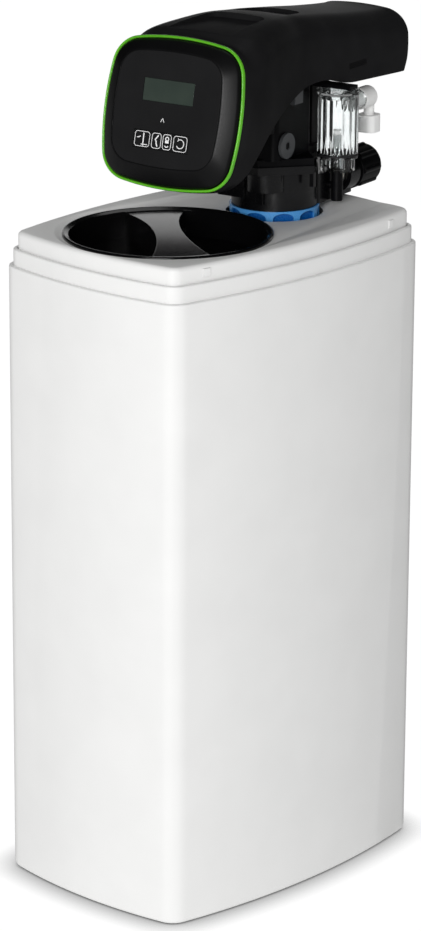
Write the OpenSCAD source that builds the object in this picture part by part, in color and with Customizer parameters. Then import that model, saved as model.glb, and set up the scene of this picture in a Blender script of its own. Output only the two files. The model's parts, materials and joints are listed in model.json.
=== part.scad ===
// Cabinet water softener: a salt cabinet with a lift-out lid, a resin tank inside it,
// and a motor driven control valve under a moulded hood. Front is -Y, up is +Z,
// the origin is the middle of the cabinet's underside.

/* [Cabinet] */
// Width across the bowed sides
cab_w = 294; // [280:1:320]
// Depth across the bowed front and back
cab_d = 415; // [405:1:440]
// Height of the shoulder ledge
ledge_z = 690; // [640:5:740]
// How far the front and back bow out
front_bow = 14; // [10:0.5:18]
// How far the sides bow out
side_bow = 22; // [16:0.5:26]
// Radius of the upright corners
corner_r = 24; // [22:0.5:30]
// Wall of the cabinet
cab_wall = 4; // [3:0.25:5]
// Radius of the bottom edge
foot_r = 7; // [5:0.5:9]
// Step in at the shoulder
neck_step = 4.8; // [4:0.2:6]
// Height of the neck above the ledge
neck_h = 18; // [15:0.5:22]

/* [Cover and lid] */
// Step in from the neck to the cover
cover_step = 5.4; // [5.2:0.1:6]
// Wall of the cover's skirt
skirt_t = 3.2; // [2.6:0.1:3.6]
// Height of the cover above the neck's rim
tier_h = 15; // [13:0.5:18]
// Radius of the cover's top edge
cover_edge_r = 5; // [3:0.5:6]
// Thickness of the deck
deck_t = 4; // [3:0.25:5]
// Outer radius of the lid
lid_r = 112.6; // [110:0.2:114]
// Distance of the lid's centre in front of the cabinet's centre
lid_y = 73; // [71:0.5:75]
// Width of the lid's flange on the deck
lid_flange = 4; // [3.4:0.2:6]
// Depth of the pan round the lid and the valve below the deck's edge
pan_depth = 3.5; // [2:0.5:4]
// Depth of the lid's pockets below the deck
pocket_depth = 28; // [20:1:32]
// Width of the lid's grip at its waist
grip_w = 30; // [24:1:36]
// Turn of the lid's grip
lid_turn = 52; // [0:1:90]
// Wall of the lid
lid_wall = 2; // [1.6:0.2:2.6]

/* [Tank] */
// Outer radius of the resin tank
tank_r = 101.5; // [96:0.5:103]
// Wall of the resin tank
tank_wall = 3.5; // [2.5:0.25:4.5]
// Distance of the tank's axis behind the cabinet's centre
tank_y = 95; // [92:0.5:97]
// Outer radius of the tank's neck
neck_r = 40.5; // [39:0.25:42]
// Outer radius of the blue ring
ring_r = 49.25; // [48.5:0.25:50]
// Outer radius of the riser tube
riser_r = 13.35; // [12.5:0.05:13.5]
// Wall of the riser tube
riser_wall = 1.85; // [1.5:0.05:2.5]

/* [Valve] */
// Turn of the control head on the tank
head_turn = 10; // [0:1:15]
// Radius of the valve's skirt
skirt_r = 47.25; // [46.5:0.25:48]
// Height of the skirt's foot above the deck
skirt_lift = 6.5; // [5:0.5:8]
// Height of the skirt
skirt_h = 42.5; // [42:0.25:46]
// Thickness of the lower flange
lower_flange_t = 9; // [8:0.5:10]
// Thickness of the upper flange
upper_flange_t = 8; // [6:0.5:10]
// Half width of the valve's column
column_hw = 36; // [35:0.25:38]
// Height of the piston's axis above the upper flange
barrel_rise = 95; // [93:0.5:97]
// Outer radius of the piston barrel
barrel_r = 30; // [29:0.25:31]
// Radius of the barrel's bore
barrel_bore = 24; // [22:0.25:25]
// Radius of the piston
piston_r = 14; // [12:0.25:16]
// Radius of the piston rod
rod_r = 6; // [5:0.25:7]
// Stroke of the piston
stroke = 36; // [30:1:36]
// Radius of the blending screw's disc
blend_r = 14; // [12:0.5:15]

/* [Ports] */
// Distance of each port from the middle
port_x = 33; // [31:0.5:34]
// Outer radius of a port
port_r = 19; // [18:0.25:20]
// Radius of a port's bore
port_bore = 13; // [12:0.25:14]
// Outer radius of a union nut between its lobes
nut_r = 22; // [21.5:0.25:22.5]
// Number of lobes on a union nut
nut_lobes = 8; // [6:1:10]
// Length of a union nut
nut_len = 38; // [34:0.5:40]

/* [Drive] */
// Tooth module of the gears
gear_mod = 1.5; // [1.4:0.05:1.55]
// Teeth of the drive gear
drive_teeth = 48; // [48:24:48]
// Teeth of the idler
idler_teeth = 24; // [24:24:24]
// Teeth of the motor pinion
pinion_teeth = 12; // [12:12:12]
// Width of the gears
gear_w = 10; // [8:0.5:11]
// Radius of the motor
motor_r = 18; // [16:0.5:18.5]

/* [Display head] */
// Width of the green ring's outline
face_w = 171; // [166:1:174]
// Height of the green ring's outline
face_h = 160; // [156:1:162]
// Lean of the face
face_lean = 12.7; // [10:0.1:14]
// Width of the flat panel
panel_w = 130; // [126:1:134]
// Height of the flat panel
panel_h = 121; // [118:1:124]
// Width of the display window
window_w = 63; // [58:0.5:66]
// Height of the display window
window_h = 24; // [20:0.5:26]
// Height of the keys
key_h = 18; // [16:0.5:20]
// Travel of a key
key_travel = 0.5; // [0.3:0.05:0.6]
// Wall of the hood
hood_wall = 3; // [2.5:0.1:3.5]

/* [Sight chamber] */
// Outer radius of the sight chamber
sight_r = 22.5; // [21:0.25:23]
// Wall of the sight chamber
sight_wall = 2; // [1.5:0.1:2.5]
// Height of the sight chamber's tube
sight_h = 66; // [60:1:68]
// Outer radius of the standpipe
standpipe_r = 4.8; // [4.2:0.1:5.4]
// Radius of the elbow's body
elbow_r = 12; // [11:0.25:12.5]
// Radius of the tube that the elbow takes
tube_r = 4.8; // [4:0.1:5]

/* [Brine well] */
// Outer radius of the brine well
well_r = 38; // [34:0.5:40]
// Wall of the brine well
well_wall = 2.5; // [2:0.1:3]
// Radius of the float's rod
float_rod_r = 5; // [4:0.25:6]
// Radius of the brine float
float_r = 26; // [22:0.5:28]
// Height of the brine float
float_h = 60; // [50:1:70]

/* [Hidden] */

$fn = 64;
// Overrun of a cutting shape past the face that it cuts
over = 1;
// Clearance between fixed pieces that plug into each other
fit_gap = 0.4;
// Radial clearance of a shaft that turns or slides in its bore
run_gap = 0.05;

// Colours
white = "#f2f2f0";
black = "#1c1c1e";
jet = "#0e0e10";
grey = "#55585a";
clear = "#dfe8ea";
steel = "#b9bcc0";
natural = "#e8e4d8";
rubber = "#262626";

// Outlines with bowed sides and round corners.
// A station is [centre, radius, direction], so an inset ring needs only a shorter radius.
cab_steps = 6;
head_steps = 3;
corner_steps = 5;

function bow_radius(half, bow) = (half * half + bow * bow) / (2 * bow);

function fan(centre, radius, from, to, steps, first, last) =
    [for (i = [first:last])
        let (a = from + (to - from) * i / steps)
        [centre, radius, [cos(a), sin(a)]]];

function quarter(w, d, bow_w, bow_d, r, steps) =
    let (rf = bow_radius(w / 2 - bow_w, bow_d),
        rs = bow_radius(d / 2 - bow_d, bow_w),
        cf = [0, d / 2 - rf],
        cs = [w / 2 - rs, 0],
        span = norm(cf - cs),
        u = (cf - cs) / span,
        along = ((rs - r) * (rs - r) - (rf - r) * (rf - r) + span * span) / (2 * span),
        out = sqrt((rs - r) * (rs - r) - along * along),
        c = cs + along * u + out * [-u[1], u[0]],
        a_side = atan2(c[1] - cs[1], c[0] - cs[0]),
        a_front = atan2(c[1] - cf[1], c[0] - cf[0]))
    concat(fan(cs, rs, 0, a_side, steps, 0, steps - 1),
        fan(c, r, a_side, a_front, corner_steps, 0, corner_steps),
        fan(cf, rf, a_front, 90, steps, 1, steps));

function flipped(s, x, y) = [[s[0][0] * x, s[0][1] * y], s[1], [s[2][0] * x, s[2][1] * y]];

function bowed(w, d, bow_w, bow_d, r, steps) =
    let (q = quarter(w, d, bow_w, bow_d, r, steps),
        half = concat(q, [for (i = [len(q) - 2:-1:0]) flipped(q[i], -1, 1)]))
    concat(half, [for (i = [len(half) - 2:-1:1]) flipped(half[i], 1, -1)]);

function inset_ring(outline, inset) = [for (s = outline) s[0] + (s[1] - inset) * s[2]];

function level_ring(outline, inset, z) = [for (p = inset_ring(outline, inset)) [p[0], p[1], z]];

// A quarter round in four steps, as [run, rise] shares of its radius
function quarter_round(n) = [for (i = [0:n]) [1 - cos(90 * i / n), sin(90 * i / n)]];

// Skin through a list of rings: capped at both ends, or closed into a loop
module loft(rings, loop = false) {
    n = len(rings[0]);
    m = len(rings);
    skin = [for (j = [0:(loop ? m : m - 1) - 1], i = [0:n - 1])
        let (k = (i + 1) % n, up = (j + 1) % m)
        each [[j * n + i, up * n + i, up * n + k], [j * n + i, up * n + k, j * n + k]]];
    caps = loop ? [] : [[for (i = [0:n - 1]) i], [for (i = [n - 1:-1:0]) (m - 1) * n + i]];
    polyhedron([for (r = rings) each r], concat(skin, caps), convexity = 8);
}

// Cylinders along Y and X between two places
module rod_y(r, x, z, y0, y1) {
    translate([x, y0, z]) rotate([-90, 0, 0]) cylinder(r = r, h = y1 - y0);
}

module rod_x(r, y, z, x0, x1) {
    translate([x0, y, z]) rotate([0, 90, 0]) cylinder(r = r, h = x1 - x0);
}

module rod_z(r, x, y, z0, z1) {
    translate([x, y, z0]) cylinder(r = r, h = z1 - z0);
}

// Box between two corners
module box(a, b) {
    translate(a) cube(b - a);
}

// Rectangle with true round corners
module round_rect(w, h, r) {
    square([w - 2 * r, h], center = true);
    square([w, h - 2 * r], center = true);
    for (x = [-1, 1], y = [-1, 1])
        translate([x * (w / 2 - r), y * (h / 2 - r)]) circle(r);
}

// Ring of square section
module ring(r_out, r_in, z0, z1) {
    difference() {
        rod_z(r_out, 0, 0, z0, z1);
        rod_z(r_in, 0, 0, z0 - over, z1 + over);
    }
}

// Cabinet levels and outline
rim_z = ledge_z + neck_h;
deck_z = rim_z + tier_h;
cab_outline = bowed(cab_w, cab_d, side_bow, front_bow, corner_r, cab_steps);
cab_edge_r = 1.6;
edge_steps = 3;
shelf_drop = 11;
shelf_w = 8;
shelf_t = 4;
shelf_z = rim_z - shelf_drop;
neck_in = neck_step + cab_wall;
shelf_in = neck_in + shelf_w;
cover_in = neck_step + cover_step;
floor_round = 6;
side_arc = bow_radius(cab_d / 2 - front_bow, side_bow);
back_arc = bow_radius(cab_w / 2 - side_bow, front_bow);

// Snap hooks in the cover's windows, at the same turn along both sides
hook_w = 9;
hook_t = 2;
hook_turn = 9.8;
window_gap = 0.6;
barb_top = deck_z - cover_edge_r - 0.5;
barb_h = 6;
barb_out = 1.8;

// Frames on the cabinet's walls: X outwards from a side, Y outwards from the back
module side_frame(side, turn) {
    mirror([side < 0 ? 1 : 0, 0, 0])
        translate([cab_w / 2 - side_arc, 0, 0])
            rotate([0, 0, turn])
                translate([side_arc, 0, 0])
                    children();
}

module back_frame(x) {
    translate([0, cab_d / 2 - back_arc, 0])
        rotate([0, 0, -asin(x / back_arc)])
            translate([0, back_arc, 0])
                children();
}

module at_hooks() {
    for (side = [-1, 1], turn = [-hook_turn, hook_turn])
        side_frame(side, turn) children();
}

// Wall fittings of the brine line and the overflow
overflow_x = 74;
overflow_z = ledge_z - 120;
grommet_z = ledge_z - 40;
overflow_hole_r = 9;
grommet_hole_r = 9;

module cabinet_body() {
    rounding = quarter_round(edge_steps);
    foot = [for (s = quarter_round(4)) [foot_r * (1 - s[1]), foot_r * s[0]]];
    ledge = [for (s = rounding) [cab_edge_r * s[0], ledge_z + cab_edge_r * (s[1] - 1)]];
    rim = [for (s = rounding) [neck_step + cab_edge_r * s[0], rim_z + cab_edge_r * (s[1] - 1)]];
    inside = [
        [neck_in, rim_z],
        [neck_in, shelf_z],
        [shelf_in, shelf_z],
        [shelf_in, shelf_z - shelf_t],
        [cab_wall, shelf_z - shelf_t - shelf_in + cab_wall],
        [cab_wall, cab_wall + floor_round],
        [cab_wall + floor_round, cab_wall]];
    profile = concat(foot, ledge, [[neck_step, ledge_z]], rim, inside);
    color(white) {
        difference() {
            loft([for (p = profile) level_ring(cab_outline, p[0], p[1])]);
            back_frame(overflow_x) rod_y(overflow_hole_r, 0, overflow_z, -2 * cab_wall, over);
            back_frame(-overflow_x) rod_y(grommet_hole_r, 0, grommet_z, -2 * cab_wall, over);
        }
        at_hooks() {
            tongue_x = -cover_in - skirt_t - fit_gap;
            box([tongue_x - hook_t, -hook_w / 2, shelf_z - over], [tongue_x, hook_w / 2, barb_top]);
            box([tongue_x, -hook_w / 2, barb_top - barb_h], [tongue_x + barb_out, hook_w / 2, barb_top]);
        }
    }
}

// Valve hole with a shallow dish round the ring
valve_hole_r = ring_r + 4;
dish_r = valve_hole_r + 13;
dish_depth = 3;
dish_wall = 3;
lid_hole_r = lid_r - lid_flange;

// Shallow pan: centre, radius of its floor and width of its slope
pans = [[-lid_y, lid_r + 0.8, 9], [tank_y, dish_r, 24], [cab_d / 2, 50, 65]];

module cabinet_cover() {
    edge_z = deck_z + pan_depth;
    top = [for (s = quarter_round(4)) [cover_in + cover_edge_r * s[0], edge_z + cover_edge_r * (s[1] - 1)]];
    inner = cover_in + skirt_t;
    profile = concat([[inner, deck_z - deck_t], [inner, shelf_z], [cover_in, shelf_z]], top);
    color(white) difference() {
        union() {
            loft([for (p = profile) level_ring(cab_outline, p[0], p[1])]);
            rod_z(dish_r, 0, tank_y, deck_z - dish_depth - dish_wall, deck_z - deck_t / 2);
        }
        hull() for (p = pans)
            translate([0, p[0], deck_z]) cylinder(r1 = p[1], r2 = p[1] + 2 * p[2], h = 2 * pan_depth);
        rod_z(lid_hole_r, 0, -lid_y, deck_z - 2 * deck_t, deck_z + over);
        translate([0, tank_y, deck_z - dish_depth])
            cylinder(r1 = valve_hole_r, r2 = dish_r, h = dish_depth + 0.01);
        rod_z(valve_hole_r, 0, tank_y, deck_z - 3 * deck_t, deck_z + over);
        at_hooks()
            box([-cover_in - skirt_t - over, -hook_w / 2 - window_gap, barb_top - barb_h - window_gap],
                [-cover_in + over, hook_w / 2 + window_gap, barb_top + window_gap]);
    }
}

// Lid: a dished disc whose two lens pockets leave a waisted grip
lid_gap = 0.6;
lid_rim_h = 3.5;
lid_edge = 1.5;
lens_r = 300;
plug_r = lid_hole_r - lid_gap;
pocket_r = plug_r - lid_wall;

module lens(r_disc, waist, r_arc) {
    for (t = [0, 180])
        rotate(t) intersection() {
            circle(r_disc);
            translate([waist / 2 + r_arc, 0]) circle(r_arc, $fn = 180);
        }
}

module salt_lid() {
    floor_z = deck_z - pocket_depth;
    color(jet) translate([0, -lid_y, 0]) rotate(lid_turn) difference() {
        union() {
            rotate_extrude() polygon([
                [0, deck_z], [lid_r, deck_z], [lid_r, deck_z + lid_rim_h - lid_edge],
                [lid_r - lid_edge, deck_z + lid_rim_h], [0, deck_z + lid_rim_h]]);
            rod_z(plug_r, 0, 0, floor_z - lid_wall, deck_z + over);
        }
        translate([0, 0, floor_z])
            linear_extrude(pocket_depth + lid_rim_h + over) lens(pocket_r, grip_w, lens_r);
        translate([0, 0, floor_z - lid_wall - over])
            linear_extrude(pocket_depth + lid_wall + over)
                difference() {
                    circle(pocket_r);
                    lens(pocket_r + over, grip_w - 2 * lid_wall, lens_r + lid_wall);
                }
    }
}

// Overflow elbow on the back wall, its nut inside, and the brine line's grommet
overflow_r = overflow_hole_r - fit_gap;
overflow_flange_r = 15;
overflow_flange_t = 4;
wall_gap = 0.3;
overflow_out = 22;
overflow_drop = 30;
overflow_tail = 20;
overflow_tail_r = overflow_r - 0.8;
overflow_bore = 6.5;
overflow_in = 16;
overflow_nut_t = 7;
sleeve_len = 10;

module overflow_elbow() {
    color(black) back_frame(overflow_x) difference() {
        union() {
            rod_y(overflow_flange_r, 0, overflow_z, wall_gap, wall_gap + overflow_flange_t);
            rod_y(overflow_r, 0, overflow_z, -overflow_in, overflow_out);
            translate([0, overflow_out, overflow_z]) sphere(overflow_r);
            rod_z(overflow_r, 0, overflow_out, overflow_z - overflow_drop + overflow_tail, overflow_z);
            rod_z(overflow_tail_r, 0, overflow_out, overflow_z - overflow_drop, overflow_z);
        }
        rod_y(overflow_bore, 0, overflow_z, -overflow_in - over, overflow_out);
        translate([0, overflow_out, overflow_z]) sphere(overflow_bore);
        rod_z(overflow_bore, 0, overflow_out, overflow_z - overflow_drop - over, overflow_z);
    }
}

module overflow_nut() {
    nut_y = -cab_wall - wall_gap;
    color(black) back_frame(overflow_x) difference() {
        translate([0, nut_y, overflow_z]) rotate([90, 0, 0]) cylinder(r = overflow_flange_r, h = overflow_nut_t, $fn = 6);
        rod_y(overflow_r + fit_gap / 4, 0, overflow_z, nut_y - overflow_nut_t - over, nut_y + over);
    }
}

module brine_grommet() {
    lip_r = grommet_hole_r + 3;
    lip_t = 1.6;
    neck = grommet_hole_r - 0.1;
    wide = tube_r + 1.4;
    sleeve_foot = wall_gap + lip_t;
    color(rubber) back_frame(-overflow_x) difference() {
        union() {
            rod_y(neck, 0, grommet_z, -cab_wall - wall_gap - lip_t, wall_gap + lip_t);
            rod_y(lip_r, 0, grommet_z, wall_gap, wall_gap + lip_t);
            rod_y(lip_r, 0, grommet_z, -cab_wall - wall_gap - lip_t, -cab_wall - wall_gap);
            rod_y(tube_r + 2.6, 0, grommet_z, 0, sleeve_foot + sleeve_len);
        }
        rod_y(wide, 0, grommet_z, -3 * cab_wall, sleeve_foot);
        rod_y(tube_r + 0.1, 0, grommet_z, 0, sleeve_foot + sleeve_len + over);
    }
}

// Brine well with its float, on the cabinet's floor in the front left corner
well_x = 59 - cab_w / 2;
well_y = 69.5 - cab_d / 2;
well_top = ledge_z - 26;
well_cap_t = 3;
well_cap_lip = 8;
well_slots = 8;
valve_cage_h = 30;
valve_cage_r = 14;
stop_r = float_rod_r + 4;
stop_t = 4;
float_low = 300;
float_lift = 60;
float_gap = 0.3;

module at_well() {
    translate([well_x, well_y, 0]) children();
}

module brine_well() {
    slot_w = 5;
    slot_h = 70;
    color(natural) at_well() difference() {
        ring(well_r, well_r - well_wall, cab_wall, well_top);
        for (i = [0:well_slots - 1])
            rotate(i * 360 / well_slots)
                box([well_r - 2 * well_wall, -slot_w / 2, cab_wall + 10], [well_r + over, slot_w / 2, cab_wall + 10 + slot_h]);
    }
}

module brine_well_cap() {
    color(white) at_well() difference() {
        union() {
            rod_z(well_r + 1.5, 0, 0, well_top, well_top + well_cap_t);
            ring(well_r - well_wall - fit_gap, well_r - 2 * well_wall - fit_gap, well_top - well_cap_lip, well_top + over);
        }
        rod_z(float_rod_r + fit_gap / 2, 0, 0, well_top - over, well_top + well_cap_t + over);
    }
}

module float_rod() {
    foot_z = cab_wall + valve_cage_h;
    color(natural) at_well() {
        rod_z(float_rod_r, 0, 0, foot_z, well_top + well_cap_t + 2);
        for (z = [float_low - stop_t, float_low + float_h + float_lift])
            rod_z(stop_r, 0, 0, z, z + stop_t);
    }
}

module brine_float() {
    edge = 4;
    color(white) at_well() rotate_extrude() polygon([
        [float_rod_r + float_gap, float_low], [float_r - edge, float_low], [float_r, float_low + edge],
        [float_r, float_low + float_h - edge], [float_r - edge, float_low + float_h],
        [float_rod_r + float_gap, float_low + float_h]]);
}

module brine_valve() {
    bars = 6;
    color(natural) at_well() difference() {
        rod_z(valve_cage_r, 0, 0, cab_wall, cab_wall + valve_cage_h);
        for (i = [0:bars - 1])
            rotate(i * 360 / bars)
                box([float_rod_r, -2.5, cab_wall + 5], [valve_cage_r + over, 2.5, cab_wall + valve_cage_h - 6]);
    }
}

// Tank on its foot, with its domes as half ellipses
skirt_z = deck_z + skirt_lift;
seal_t = 2.5;
tank_top = skirt_z - seal_t;
tank_low = cab_wall + 8;
dome_low_h = 50;
dome_top_h = 62;
bead_r = neck_r + 5;
bead_top = tank_top - 15;
bead_h = 8;
dome_neck_z = bead_top - bead_h - 30;
dome_steps = 10;
tank_bore = 31.2;
spigot_r = tank_bore - 0.7;
spigot_len = 38;

function dome_low(r, h, z) =
    [for (i = [0:dome_steps]) let (a = 90 * i / dome_steps) [r * sin(a), z - h * cos(a)]];

function dome_top(r, r_neck, h, z) =
    [for (i = [0:dome_steps]) let (a = acos(r_neck / r) * i / dome_steps) [r * cos(a), z + h * sin(a) / sin(acos(r_neck / r))]];

module at_tank() {
    translate([0, tank_y, 0]) children();
}

module resin_tank() {
    low_z = tank_low + dome_low_h;
    top_z = dome_neck_z - dome_top_h;
    outer = concat(dome_low(tank_r, dome_low_h, low_z), dome_top(tank_r, neck_r, dome_top_h, top_z), [
        [neck_r, bead_top - bead_h], [bead_r, bead_top - bead_h], [bead_r, bead_top],
        [neck_r, bead_top], [neck_r, tank_top], [tank_bore, tank_top]]);
    inner = concat(dome_low(tank_r - tank_wall, dome_low_h - tank_wall, low_z),
        dome_top(tank_r - tank_wall, tank_bore, dome_top_h - tank_wall, top_z));
    color("#7d8fa0") at_tank() rotate_extrude()
        polygon(concat(outer, [for (i = [len(inner) - 1:-1:0]) inner[i]]));
}

module tank_foot() {
    foot_out = tank_r + 1.5;
    foot_h = 50;
    seat = dome_low(tank_r + fit_gap, dome_low_h, tank_low + dome_low_h);
    seat_from = 6;
    color(rubber) at_tank() rotate_extrude() polygon(concat(
        [[seat[seat_from][0], cab_wall], [foot_out, cab_wall], [foot_out, cab_wall + foot_h]],
        [for (i = [dome_steps - 1:-1:seat_from]) [seat[i][0], seat[i][1] - fit_gap]]));
}

module tank_ring() {
    notches = 10;
    notch_r = 9;
    notch_depth = 2.4;
    lip = 2;
    color("#2f86d2") at_tank() difference() {
        ring(ring_r, neck_r + fit_gap, bead_top, skirt_z);
        for (i = [0:notches - 1])
            rotate(i * 360 / notches)
                rod_z(notch_r, ring_r + notch_r - notch_depth, 0, bead_top - over, skirt_z - lip);
    }
}

module tank_seal() {
    color(rubber) at_tank() ring(neck_r - 2, tank_bore, tank_top, skirt_z);
}

riser_low = tank_low + tank_wall + 30;
pilot_depth = 14;
flow_bore = 26;
flow_top = skirt_z + 27;
riser_top = flow_top + pilot_depth - 2;

module riser_tube() {
    color(natural) at_tank() ring(riser_r, riser_r - riser_wall, riser_low, riser_top);
}

// Strainer basket: a comb profile turned round the riser
function comb(r_out, r_in, z0, z1, n) =
    [for (i = [0:n - 1]) let (p = (z1 - z0) / n, z = z0 + i * p)
        each [[r_out, z], [r_out, z + p * 0.6], [r_in, z + p * 0.6], [r_in, z + p]]];

module bottom_strainer() {
    basket_r = 24;
    low = tank_low + tank_wall + 2;
    color(natural) at_tank() rotate_extrude() polygon(concat(
        [[0, low]],
        comb(basket_r, basket_r - 3, low, riser_low - 2, 6),
        [[riser_r + 4, riser_low - 2], [riser_r + 4, riser_low + 16], [riser_r + fit_gap / 2, riser_low + 16],
            [riser_r + fit_gap / 2, riser_low], [0, riser_low]]));
}

module top_strainer() {
    top = skirt_z - spigot_len;
    low = top - 30;
    color(natural) at_tank() rotate_extrude() polygon(concat(
        [[riser_r + fit_gap / 2, low]],
        comb(flow_bore - 3, flow_bore - 6, low, top, 5),
        [[flow_bore - 3, top], [flow_bore - fit_gap, top], [flow_bore - fit_gap, top + 8],
            [flow_bore - 4, top + 8], [flow_bore - 4, top + 3], [flow_bore - 8, top], [flow_bore - 8, low + 3],
            [riser_r + fit_gap / 2, low + 3]]));
}

// Control head: everything below stands on the tank's axis, turned with the head
module head() {
    at_tank() rotate([0, 0, head_turn]) children();
}

flange_z = skirt_z + skirt_h;
split_z = flange_z + lower_flange_t;
column_z = split_z + upper_flange_t;
barrel_z = column_z + barrel_rise;

// Waisted flange: two flats at 45 degrees in front, drawn in at the back beside the sight chamber
flange_hw = 60;
flange_corner = -16;
flange_nose = 17;
flange_front = 61;
flange_back = 44;
flange_tail = 26;
screw_r = 2.4;
screw_head_r = 4.5;
screw_head_h = 3.5;
screw_spots = [[-50, -14], [50, -14], [-16, 36], [16, 36]];

module flange_outline(grow) {
    half = [[flange_nose, -flange_front], [flange_hw, flange_corner], [flange_tail + 8, flange_corner + 28],
        [flange_tail, flange_corner + 42], [flange_tail, flange_back]];
    offset_pts = concat(half, [for (i = [len(half) - 1:-1:0]) [-half[i][0], half[i][1]]]);
    polygon([for (p = offset_pts) p + grow * [sign(p[0]), p[1] < 0 ? -1 : 0]]);
}

// Rear manifold and ports
manifold_hw = 44;
manifold_front = 18;
manifold_back = 92;
manifold_h = 32.5;
manifold_top = skirt_z + manifold_h;
port_z = skirt_z + 22.5;
port_end = manifold_back + 33;
port_deep = manifold_back - 30;
port_boss = port_r + 2;
boss_front = manifold_back - 20;
drum_x = 12;
drum_y = -37;
drum_r = 21.5;
drum_h = 20;
injector_r = 9;
injector_depth = 15;
block_left = -40;
block_front = -52.5;
block_h = drum_h + 9;
drain_y = 58;
drain_z = skirt_z + 15;
drain_bore = 6;
stem_x = 52;
stem_y = 45;
nipple_r = 4;
nipple_z = skirt_z + 16;

module valve_base() {
    color(black) head() difference() {
        union() {
            rod_z(skirt_r, 0, 0, skirt_z, flange_z + over);
            rod_z(spigot_r, 0, 0, skirt_z - spigot_len, skirt_z + over);
            translate([0, 0, flange_z]) linear_extrude(lower_flange_t) flange_outline(1.5);
            translate([0, (manifold_front + manifold_back) / 2, skirt_z])
                linear_extrude(manifold_h) round_rect(2 * manifold_hw, manifold_back - manifold_front, 5);
            for (s = [-1, 1]) {
                rod_y(port_boss, s * port_x, port_z, boss_front, manifold_back);
                rod_y(port_r, s * port_x, port_z, manifold_back - over, port_end);
            }
            rod_z(drum_r, drum_x, drum_y, flange_z - drum_h, flange_z + over);
            box([drum_x - 4.5, drum_y - 14, flange_z - drum_h - 14], [drum_x + 4.5, drum_y, flange_z - drum_h + over]);
            box([flange_hw - 5, flange_corner - 1, flange_z - 15], [flange_hw, flange_corner + 4, flange_z + over]);
            box([block_left, block_front, flange_z - block_h], [-6, drum_y + 10, flange_z + over]);
        }
        rod_z(flow_bore, 0, 0, skirt_z - spigot_len - over, flow_top);
        rod_z(riser_r + fit_gap / 2, 0, 0, flow_top - over, split_z + over);
        for (s = [-1, 1])
            rod_y(port_bore, s * port_x, port_z, port_deep, port_end + over);
        rod_z(injector_r, drum_x, drum_y, flange_z - drum_h - over, flange_z - drum_h + injector_depth);
        rod_x(drain_bore, drain_y, drain_z, -manifold_hw - over, -manifold_hw + 14);
        rod_x(nipple_r + fit_gap / 4, stem_y, nipple_z, manifold_hw - 8, manifold_hw + over);
        for (p = screw_spots)
            rod_z(screw_r - 0.3, p[0], p[1], flange_z - over, split_z + over);
    }
}

// Valve body with the piston barrel along Y
column_front = -56;
column_back = 18;
barrel_front = -60;
barrel_back = 158;
barrel_wall = 8;
housing_hw = 18;
housing_front = 46;
housing_back = 72;
bracket_z = barrel_z - 27.5;
bracket_t = 4;
blend_y = -37;
blend_z = column_z + 14.5;
blend_pin = 5;
blend_deep = 20;

module valve_body() {
    color(black) head() difference() {
        union() {
            translate([0, 0, split_z]) linear_extrude(upper_flange_t) flange_outline(0);
            translate([0, (column_front + column_back) / 2, column_z - over])
                linear_extrude(barrel_rise - barrel_r / 2)
                    round_rect(2 * column_hw, column_back - column_front, 8);
            rod_y(barrel_r, 0, barrel_z, barrel_front, barrel_back);
            box([-housing_hw, housing_front, column_z], [housing_hw, housing_back, barrel_z]);
            box([0, stem_y - 15, bracket_z], [stem_x + 24, stem_y + 1, bracket_z + bracket_t]);
        }
        rod_y(barrel_bore, 0, barrel_z, barrel_front + barrel_wall, barrel_back + over);
        rod_y(rod_r + fit_gap, 0, barrel_z, barrel_front - over, barrel_front + barrel_wall + over);
        rod_z(riser_r + fit_gap / 2, 0, 0, split_z - over, barrel_z);
        rod_x(blend_pin + run_gap, blend_y, blend_z, column_hw - blend_deep, column_hw + over);
        for (p = screw_spots) {
            rod_z(screw_r + 0.3, p[0], p[1], split_z - over, column_z + over);
            rod_z(screw_head_r + fit_gap, p[0], p[1], column_z - screw_head_h, column_z + over);
        }
    }
}

module flange_screws() {
    color(jet) head() for (p = screw_spots) {
        rod_z(screw_r - 0.4, p[0], p[1], flange_z, column_z - screw_head_h + over);
        rod_z(screw_head_r, p[0], p[1], column_z - screw_head_h, column_z);
    }
}

cap_t = 10;

module barrel_cap() {
    color(black) head() {
        translate([0, barrel_back, barrel_z]) rotate([-90, 0, 0]) cylinder(r = barrel_r + 1, h = cap_t, $fn = 8);
        rod_y(barrel_bore - fit_gap / 2, 0, barrel_z, barrel_back - 8, barrel_back + over);
    }
}

// Seal stack in the barrel: lip seals between spacers
stack_front = barrel_front + barrel_wall;
stack_back = barrel_back - 8;
stack_count = 6;
seal_w = 4.5;
stack_pitch = (stack_back - stack_front - seal_w) / stack_count;
stack_r = barrel_bore - fit_gap / 2;
seal_in = piston_r + 0.35;

module ring_y(r_out, r_in, y0, y1) {
    difference() {
        rod_y(r_out, 0, barrel_z, y0, y1);
        rod_y(r_in, 0, barrel_z, y0 - over, y1 + over);
    }
}

module seal_spacers() {
    color(natural) head() for (i = [0:stack_count - 1]) {
        y = stack_front + seal_w + i * stack_pitch;
        ring_y(stack_r, piston_r + 4, y, y + stack_pitch - seal_w);
    }
}

module lip_seals() {
    color(rubber) head() for (i = [0:stack_count]) {
        y = stack_front + i * stack_pitch;
        ring_y(stack_r, seal_in, y, y + seal_w);
    }
}

// Piston and its rod
piston_front = 12;
piston_len = 80;
land = 18;
rod_front = -162;

module piston() {
    waist = piston_r - 4;
    color(natural) head() translate([0, piston_front, barrel_z]) rotate([-90, 0, 0])
        rotate_extrude() polygon([
            [0, 0], [piston_r, 0], [piston_r, land], [waist, land + 6],
            [waist, piston_len - land - 6], [piston_r, piston_len - land], [piston_r, piston_len], [0, piston_len]]);
}

module piston_rod() {
    color(steel) head() rod_y(rod_r, 0, barrel_z, rod_front, piston_front);
}

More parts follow.
